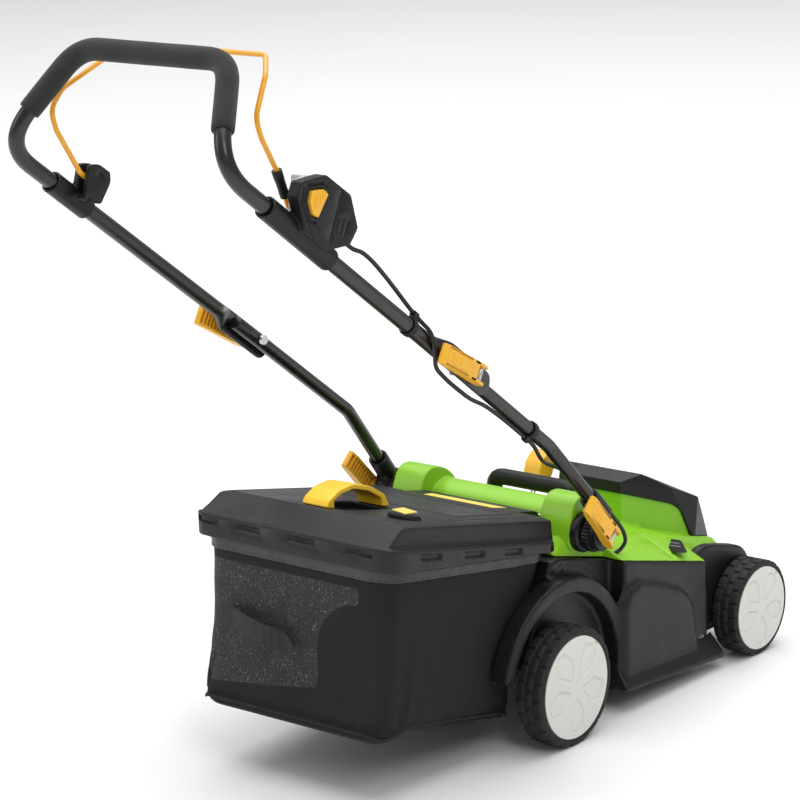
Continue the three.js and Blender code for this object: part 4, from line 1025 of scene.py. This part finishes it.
# ---------------------------------------------------------------- deck, hood and motor
def add_mouldings():
    def deck_lines(x, y, z, normals):
        side = (np.abs(y) > 150) & (np.abs(normals[:, 1]) > 0.5)
        cut = 0.0
        for radius in (157, 166):
            arch = np.abs(np.hypot(x - 62, z - 89) - radius)
            cut = np.maximum(cut, 1.5 * trench(arch, 0.8) * (z > 110) * (x < 200))
        return {1: -np.sign(y) * np.where(side, cut, 0)}

    moulded("deck_shell", BLACK, 2.5, 0.25, deck_lines, 14)

    def cover_lines(x, y, z, normals):
        ledge = (normals[:, 2] > 0.7) & (z > 150) & (z < 260)
        cut = 1.8 * trench(np.abs(box_distance(x, np.abs(y), 352, 425, 128, 206)), 0.8)
        for sx, sy in ((353, 124), (375, 214)):
            hole = box_distance(x, np.abs(y), sx - 7, sx + 7, sy - 2.5, sy + 2.5)
            cut = np.maximum(cut, 3.2 * trench(hole, 0.2))
        return {2: -np.where(ledge, cut, 0)}

    corners = [(404.6, 61.2, 206), (408.6, 55.2, 282), (436, 33, 288), (445, 68.5, 287), (445, 84, 207)]
    bm = bmesh.new()
    for x, y, z in corners:
        bm.verts.new((x, y, z))
        bm.verts.new((x, -y, z))
    bmesh.ops.convex_hull(bm, input=bm.verts)
    bm.verts.index_update()
    wall = [v.co.copy() for v in bm.verts], [[v.index for v in f.verts] for f in bm.faces]
    bm.free()
    back = bevel(make("tower_back_wall", *wall, GREEN, 30), 0.8, 2)
    settle(back, "deck")
    moulded("upper_cover", GREEN, 1.5, 0.2, cover_lines)

    def hood_lines(x, y, _, normals):
        ring = np.abs(box_distance(x, np.abs(y), 330, 560, -90, 74))
        cut = 1.8 * trench(ring, 1.0)
        for k in range(5):
            rib = np.abs(x - 470 - 12 * k)
            cut = np.maximum(cut, 1.6 * trench(rib, 2.2) * (np.abs(y) < 46))
        return {2: -np.where(normals[:, 2] > 0.5, cut, 0)}

    moulded("battery_cover", HOOD, 1.0, 0.12, hood_lines)
    moulded("rear_flap", BLACK, 1.2, 0.2, None, 4)
    for side in ("left", "right"):
        rounded(f"battery_{side}", BATTERY, 2.0, 3)
        for node in (f"handle_mount_{side}", f"tube_socket_{side}"):
            moulded(node, BLACK, 1.2, 0.35, None, 3)
        rounded(f"pivot_bolt_{side}", STEEL, 0.6)
        rounded(f"clamp_bolt_{side}", STEEL, 0.5)
    for node in ("cable_clip_upper", "cable_clip_lower"):
        moulded(node, BLACK, 0.7, 0.5, None, 3)
    moulded("carry_handle", BLACK, 1.2, 0.3, None, 3)

    ribs = [(412 + 9 * k, 296 - 1.5 * k, 407 + 9 * k, 274 - 1.5 * k) for k in range(4)]
    ribs = [(1.5, 1.7, [line[:2], line[2:]]) for line in ribs]

    def knob_ribs(x, _, z, normals):
        out = normals[:, 1]
        return {1: -np.where(np.abs(out) > 0.7, np.sign(out) * grooves(x, z, ribs), 0)}

    moulded("height_knob", YELLOW, 0.8, 0.4, knob_ribs, 3)
    for node in ("flap_hinge_pin", "motor", "motor_shaft", "blade", "blade_bolt"):
        rounded(node, STEEL, 0.5)
    for node in ("rear_axle", "front_axle", "link_rod", "height_lever"):
        rounded(node, STEEL, 0.4)


def add_flap_stripe():
    """A plain pale film across the flap, where the real one has a lettered tape."""
    outline = [(69, -65), (96, -70), (96, 70), (69, 65)]
    under, over = -0.5, 0.15

    def place(u, v, h):
        return Vector((u, v, ridge_z(u) + h))

    film = prism(outline, under, over, place)
    piece("flap_stripe", film, PALE_YELLOW, 40, "flap")


# ---------------------------------------------------------------- grass bag
def add_lid():
    rims = [(174, 131), (95, 53), (1, -47), (-105, -150)]
    sides = [(-247, -202), (-151, -106), (-60, -18), (50, 76)]

    def lid_lines(x, y, z, normals):
        rear = (x < -300) & (normals[:, 0] < -0.5)
        flank = (np.abs(y) > LID_HALF - 5) & (np.abs(normals[:, 1]) > 0.5)
        rise = z - rim_top_z(x) + 11
        at_rear = [(y, low, high, rim_top_z(LID_REAR) - 11, z) for high, low in rims]
        at_side = [(x, low, high, 0, rise) for low, high in sides]

        def slots(rows):
            boxes = [box_distance(u, v, a, b, mid - 4, mid + 4) for u, a, b, mid, v in rows]
            return sum(4.0 * trench(box, 0.2, 1.4) for box in boxes)

        border = np.abs(box_distance(x, np.abs(y), -262, 62, -160, 150))
        raised = np.abs(box_distance(x, np.abs(y), -84, 40, -140, 118))
        top = 1.6 * trench(raised, 6, 3) - 1.4 * trench(border, 1.2)
        return {
            0: np.where(rear, slots(at_rear), 0),
            1: -np.where(flank, np.sign(y) * slots(at_side), 0),
            2: np.where(normals[:, 2] > 0.6, top, 0),
        }

    moulded("bag_lid", LID, 2.0, 0.3, lid_lines, 7)

    def low_arch(x, _, z, normals):
        return {2: -0.3 * np.maximum(0, z - ridge_z(x))}

    moulded("bag_handle", SUN_YELLOW, 1.0, 0.35, low_arch, 6)
    # The fill indicator is coloured near-black as painted shade of its recess.
    rounded("fill_indicator", SHADE_AND_PRINT_BLACK, 0.8)
    rhomb = [(-196, -92), (-180, -100), (-186, -130), (-203, -121)]

    top = frame_top("fill_indicator")
    window = prism(rhomb, top - 1.0, top + 0.8, plain_view)
    patch = make("fill_indicator_window", *window, PALE_YELLOW, 40)
    bevel(patch, 0.3, 2)
    settle(patch, "grass_bag")
    ribs = []
    for k in range(8):
        x0 = -228 + 12 * k
        ribs.append(slab(x0, x0 + 3, -30, 30, ridge_z(x0) - 16, ridge_z(x0) - 12))
    # The ribs in the handle well are coloured near-black as painted shade under the handle.
    piece("handle_well_ribs", joined(*ribs), SHADE_AND_PRINT_BLACK, 40, "grass_bag")


def frame_top(node):
    obj = frame["nodes"][node]
    return max((obj.matrix_world @ Vector(c)).z for c in obj.bound_box) / MM


BAG_MIDDLE_X, FLOOR_MIDDLE_X, FLOOR_RINGS = -130, -170, 13
BAG_GRID, QUICK_BAG_GRID = (260, 74), (120, 34)


def bag_edges(height):
    """Rear and front x of the bag at a share of its height, 1 at the rim and 0 at the bottom."""
    levels = [0.0, 0.03, 0.08, 0.3, 0.5, 0.8, 1.0]
    rear = np.interp(height, levels, [-318, -328, -330, -314, -308, -304, -305])
    front = np.interp(height, [0.0, 0.06, 0.3, 0.74, 1.0], [-34, -22, -7, 52, 66])
    return rear, front


def bag_point(u, height):
    """A point of the bag's wall: u is the share round it from the middle of the rear."""
    rear, front = bag_edges(height)
    half = np.interp(height, [0.0, 0.05, 0.15, 0.5, 1.0], [164, 169, 171, 171, 172])
    radius = 30 + 18 * height
    corners = [(rear, half), (front, half), (front, -half), (rear, -half)]
    outline = rounded_outline(corners, radius, 6)
    outline = [Vector((rear, 0)), *outline, Vector((rear, 0))]
    steps = [(b - a).length for a, b in zip(outline, outline[1:])]
    want = (u % 1) * sum(steps)
    for a, b, step in zip(outline, outline[1:], steps):
        if want <= step and step > 0:
            x, y = a.lerp(b, want / step)
            break
        want -= step
    top, bottom = rim_low_z(x) + 6, bag_floor(x)
    return Vector((x, y, bottom + (top - bottom) * height))


def bag_floor(x):
    return float(np.interp(x, [-330, -318, -262, -60, -36, -22, -7], [104, 94, 100, 59, 49, 53, 60]))


def wall_grid(columns, rows):
    """Evenly spaced points round the wall, ring by ring from the rim down, with their cloth lengths."""
    rings = []
    for j in range(rows + 1):
        height = 1 - j / rows
        ring = [bag_point(k / columns, height) for k in range(columns)]
        around = sum((b - a).length for a, b in zip(ring, ring[1:] + ring[:1]))
        rings.append((ring, around))
    return rings


def window_value(p):
    """Distance inside the net window on the bag's rear, mm; below 0 outside it."""
    if p.x > -285:
        return -20.0
    across = -p.y
    if p.z > 205:
        side = min(118 - across, math.hypot(across - 120, p.z - 205) - 80)
    else:
        side = 40 - across
    return max(-20.0, min(side, p.z - 148 - 0.12 * across, 309 - p.z, across + 160))


def add_bag():
    columns, rows = BAG_GRID
    rings = wall_grid(columns, rows)
    verts, uvs = [], []
    for j, (ring, around) in enumerate(rings):
        for i, p in enumerate(ring):
            height = 1 - j / rows
            soft = math.sin(math.pi * height) ** 0.6 if 0 < height < 1 else 0
            billow = 4.2 * noise.noise(Vector((p.x * 0.008, p.y * 0.008, p.z * 0.010))) * soft
            crease = 2.0 * noise.noise(Vector((p.x * 0.03, p.y * 0.03, p.z * 0.012 + 4))) * soft
            low = math.exp(-((height - 0.16) / 0.14) ** 2)
            fold = 3.0 * noise.noise(Vector((p.x * 0.02, p.y * 0.02, p.z * 0.06))) * low
            centre = Vector((BAG_MIDDLE_X, 0, p.z))
            out = (p - centre).normalized()
            verts.append(p + out * (billow + crease + fold - 2.0 * soft))
            uvs.append((i / columns * around, -j / rows * 260))
    faces, corner_uv = [], []
    for j in range(rows):
        for i in range(columns):
            k = (i + 1) % columns
            a, b = j * columns + i, j * columns + k
            faces.append([a, b, b + columns, a + columns])
            wrap = rings[j][1] if k == 0 else 0
            corner_uv += [uvs[a], (uvs[b][0] + wrap, uvs[b][1])]
            corner_uv += [(uvs[b + columns][0] + wrap, uvs[b + columns][1]), uvs[a + columns]]
    base = len(verts) - columns
    last = base
    for step in range(1, FLOOR_RINGS):
        share = 1 - step / FLOOR_RINGS
        start = len(verts)
        for i in range(columns):
            p = verts[base + i]
            q = Vector((FLOOR_MIDDLE_X + (p.x - FLOOR_MIDDLE_X) * share, p.y * share, 0))
            dip = 3 * noise.noise(Vector((q.x * 0.012, q.y * 0.012, 3)))
            q.z = bag_floor(q.x) + 2 + dip
            verts.append(q)
        for i in range(columns):
            k = (i + 1) % columns
            faces.append([last + i, last + k, start + k, start + i])
            for index in (last + i, last + k, start + k, start + i):
                corner_uv.append((verts[index].x, verts[index].y))
        last = start
    faces.append([last + i for i in range(columns)])
    corner_uv += [(verts[last + i].x, verts[last + i].y) for i in range(columns)]
    mesh = bpy.data.meshes.new("bag_shell")
    mesh.from_pydata([tuple(c * MM for c in v) for v in verts], [], faces)
    layer = mesh.uv_layers.new(name="cloth")
    layer.data.foreach_set("uv", np.array(corner_uv).ravel() * MM)
    window = mesh.attributes.new("window", "FLOAT", "POINT")
    window.data.foreach_set("value", np.array([window_value(v) for v in verts]) * MM)
    obj = linked("bag_shell", mesh)
    mesh.materials.append(CLOTH)
    pinned = obj.vertex_groups.new(name="held")
    for index in range(len(verts)):
        j = index // columns
        if j <= 2 or index >= base:
            pinned.add([index], 1.0, "ADD")
    sag(obj, 14)
    bm = bmesh.new()
    bm.from_mesh(obj.data)
    bmesh.ops.recalc_face_normals(bm, faces=bm.faces)
    bm.to_mesh(obj.data)
    bm.free()
    thick = obj.modifiers.new("thickness", "SOLIDIFY")
    thick.thickness, thick.offset = 0.0012, -1
    smooth_faces(obj.data, 80)
    settle(obj, "grass_bag", ["bag_fabric"])
    add_bag_trim(rings, columns, rows)


SAG_LIMIT = 7


def sag(obj, frames_run):
    """Lets the wall hang for a moment, then keeps that shape within a few millimetres."""
    before = rows_of(obj.data, "co")
    cloth = obj.modifiers.new("hang", "CLOTH")
    cloth.settings.quality = 4
    cloth.settings.mass = 0.25
    cloth.settings.vertex_group_mass = "held"
    cloth.settings.tension_stiffness = 25
    cloth.settings.compression_stiffness = 8
    cloth.settings.bending_stiffness = 0.4
    cloth.settings.effector_weights.gravity = 1.0
    cloth.point_cache.frame_start, cloth.point_cache.frame_end = 1, frames_run
    scene = bpy.context.scene
    for number in range(1, frames_run + 1):
        scene.frame_set(number)
    depsgraph = bpy.context.evaluated_depsgraph_get()
    move = rows_of(obj.evaluated_get(depsgraph).data, "co") - before
    obj.modifiers.clear()
    scene.frame_set(1)
    size = np.linalg.norm(move, axis=1, keepdims=True)
    move *= np.minimum(1, SAG_LIMIT * MM / np.maximum(size, 1e-9))
    obj.data.vertices.foreach_set("co", (before + move).ravel())
    obj.data.update()


def ribbon(line, outwards, half, thick, name, material):
    """A flat band along a closed line of points, lying on the bag's wall."""
    verts = []
    for p, out in zip(line, outwards):
        for rise, off in ((half, 0), (half - 1, thick), (1 - half, thick), (-half, 0)):
            verts.append(p + out * off + Vector((0, 0, rise)))
    faces = ring_faces(len(line), 4, closed=True)
    piece(name, (verts, faces), material, 50, "grass_bag")


def add_bag_trim(rings, columns, rows):
    """The vinyl band under the rim, a row of stitches and the piping at the hem."""
    def wall_line(height, off):
        line, outs = [], []
        for i in range(columns):
            row = (1 - height) * rows
            j = min(rows - 1, int(row))
            p = rings[j][0][i].lerp(rings[j + 1][0][i], row - j)
            before, after = rings[j][0][i - 1], rings[j][0][(i + 1) % columns]
            across = (after - before).normalized()
            out = Vector((across.y, -across.x, 0)).normalized()
            if out.dot(p - Vector((BAG_MIDDLE_X, 0, p.z))) < 0:
                out = -out
            line.append(p + out * off)
            outs.append(out)
        return line, outs

    line, outs = wall_line(0.955, 0.6)
    ribbon(line, outs, 11, 1.3, "bag_vinyl_band", VINYL)
    stitches = []
    line, _ = wall_line(0.925, 1.9)
    for i in range(0, columns, 2):
        a, b = line[i], line[(i + 1) % columns]
        p, q = a.lerp(b, 0.1), a.lerp(b, 0.9)
        stitches.append(bar([p, p.lerp(q, 0.5), q], 0.45, 6, 0.2))
    piece("bag_stitches", joined(*stitches), THREAD, 50, "grass_bag")
    line, _ = wall_line(0.03, 1.2)
    piping = sweep(line + [line[0]], lambda i, angle: round_section(2.0, angle), 10)
    piece("bag_piping", piping, THREAD, 60, "grass_bag")


def add_strap():
    """The hand strap across the bag's rear, bulging off the wall, narrowing towards its ends."""
    path, steps = [], 60
    top, low = Vector((0, 122, 234)), Vector((0, -8, 208))
    for k in range(steps + 1):
        t = k / steps
        p = top.lerp(low, t)
        wall = float(bag_edges((p.z - 96) / 249)[0])
        bulge = 7 * math.sin(math.pi * (t - 0.12) / 0.76) if 0.12 < t < 0.88 else 0
        path.append(Vector((wall - 6.5 - bulge, p.y, p.z)))
    verts = []
    for i, p in enumerate(path):
        t = i / steps
        narrow = 15 * min(1, 0.8 + t * 9, 0.2 + (1 - t) * 7)
        ripple = 0.5 * noise.noise(Vector((i * 0.35, 2, 1)))
        for w, d in ((-narrow, 0), (-narrow, -1.6), (0, -1.9), (narrow, -1.6), (narrow, 0), (0, 0.2)):
            verts.append(Vector((p.x + d + ripple, p.y, p.z + w)))
    faces = ring_faces(steps + 1, 6)
    faces += [list(range(6)), list(range(steps * 6, steps * 6 + 6))[::-1]]
    obj = make("bag_strap_webbing", verts, faces, STRAP, 50)
    layer = obj.data.uv_layers.new(name="cloth")
    co = np.array([obj.data.vertices[loop.vertex_index].co[:] for loop in obj.data.loops])
    layer.data.foreach_set("uv", co[:, 1:].ravel())
    settle(obj, "grass_bag", ["bag_strap"])


def add_label():
    """A plain sticker on the green ledge, without lettering."""
    outline = [(413, -127), (418, -163), (370, -207), (361, -185)]

    def place(u, v, h):
        return Vector((u, v, LEDGE_Z + h))

    film = prism(rounded_outline(outline, 5, 3), -0.4, 0.5, place)
    piece("ledge_label", film, SHADE_AND_PRINT_BLACK, 40, "deck")
    bars = []
    for share in (0.3, 0.55):
        a = Vector(outline[0]).lerp(Vector(outline[3]), share)
        b = Vector(outline[1]).lerp(Vector(outline[2]), share)
        along = (b - a).normalized() * 6
        wide = (Vector(outline[3]) - Vector(outline[0])).normalized() * 1.6
        bars.append(prism([a + along, b - along, b - along + wide, a + along + wide], 0.5, 0.7, place))
    piece("ledge_label_bars", joined(*bars), PALE, 40, "deck")


add_camera()
add_studio()
for end, wheel in (("rear", REAR_WHEEL), ("front", FRONT_WHEEL)):
    for side in ("left", "right"):
        add_wheel(end, side, wheel)
add_handle()
add_joint_hardware()
add_levers()
add_bail()
add_controls()
add_cable()
add_mouldings()
add_flap_stripe()
add_label()
add_lid()
add_bag()
add_strap()
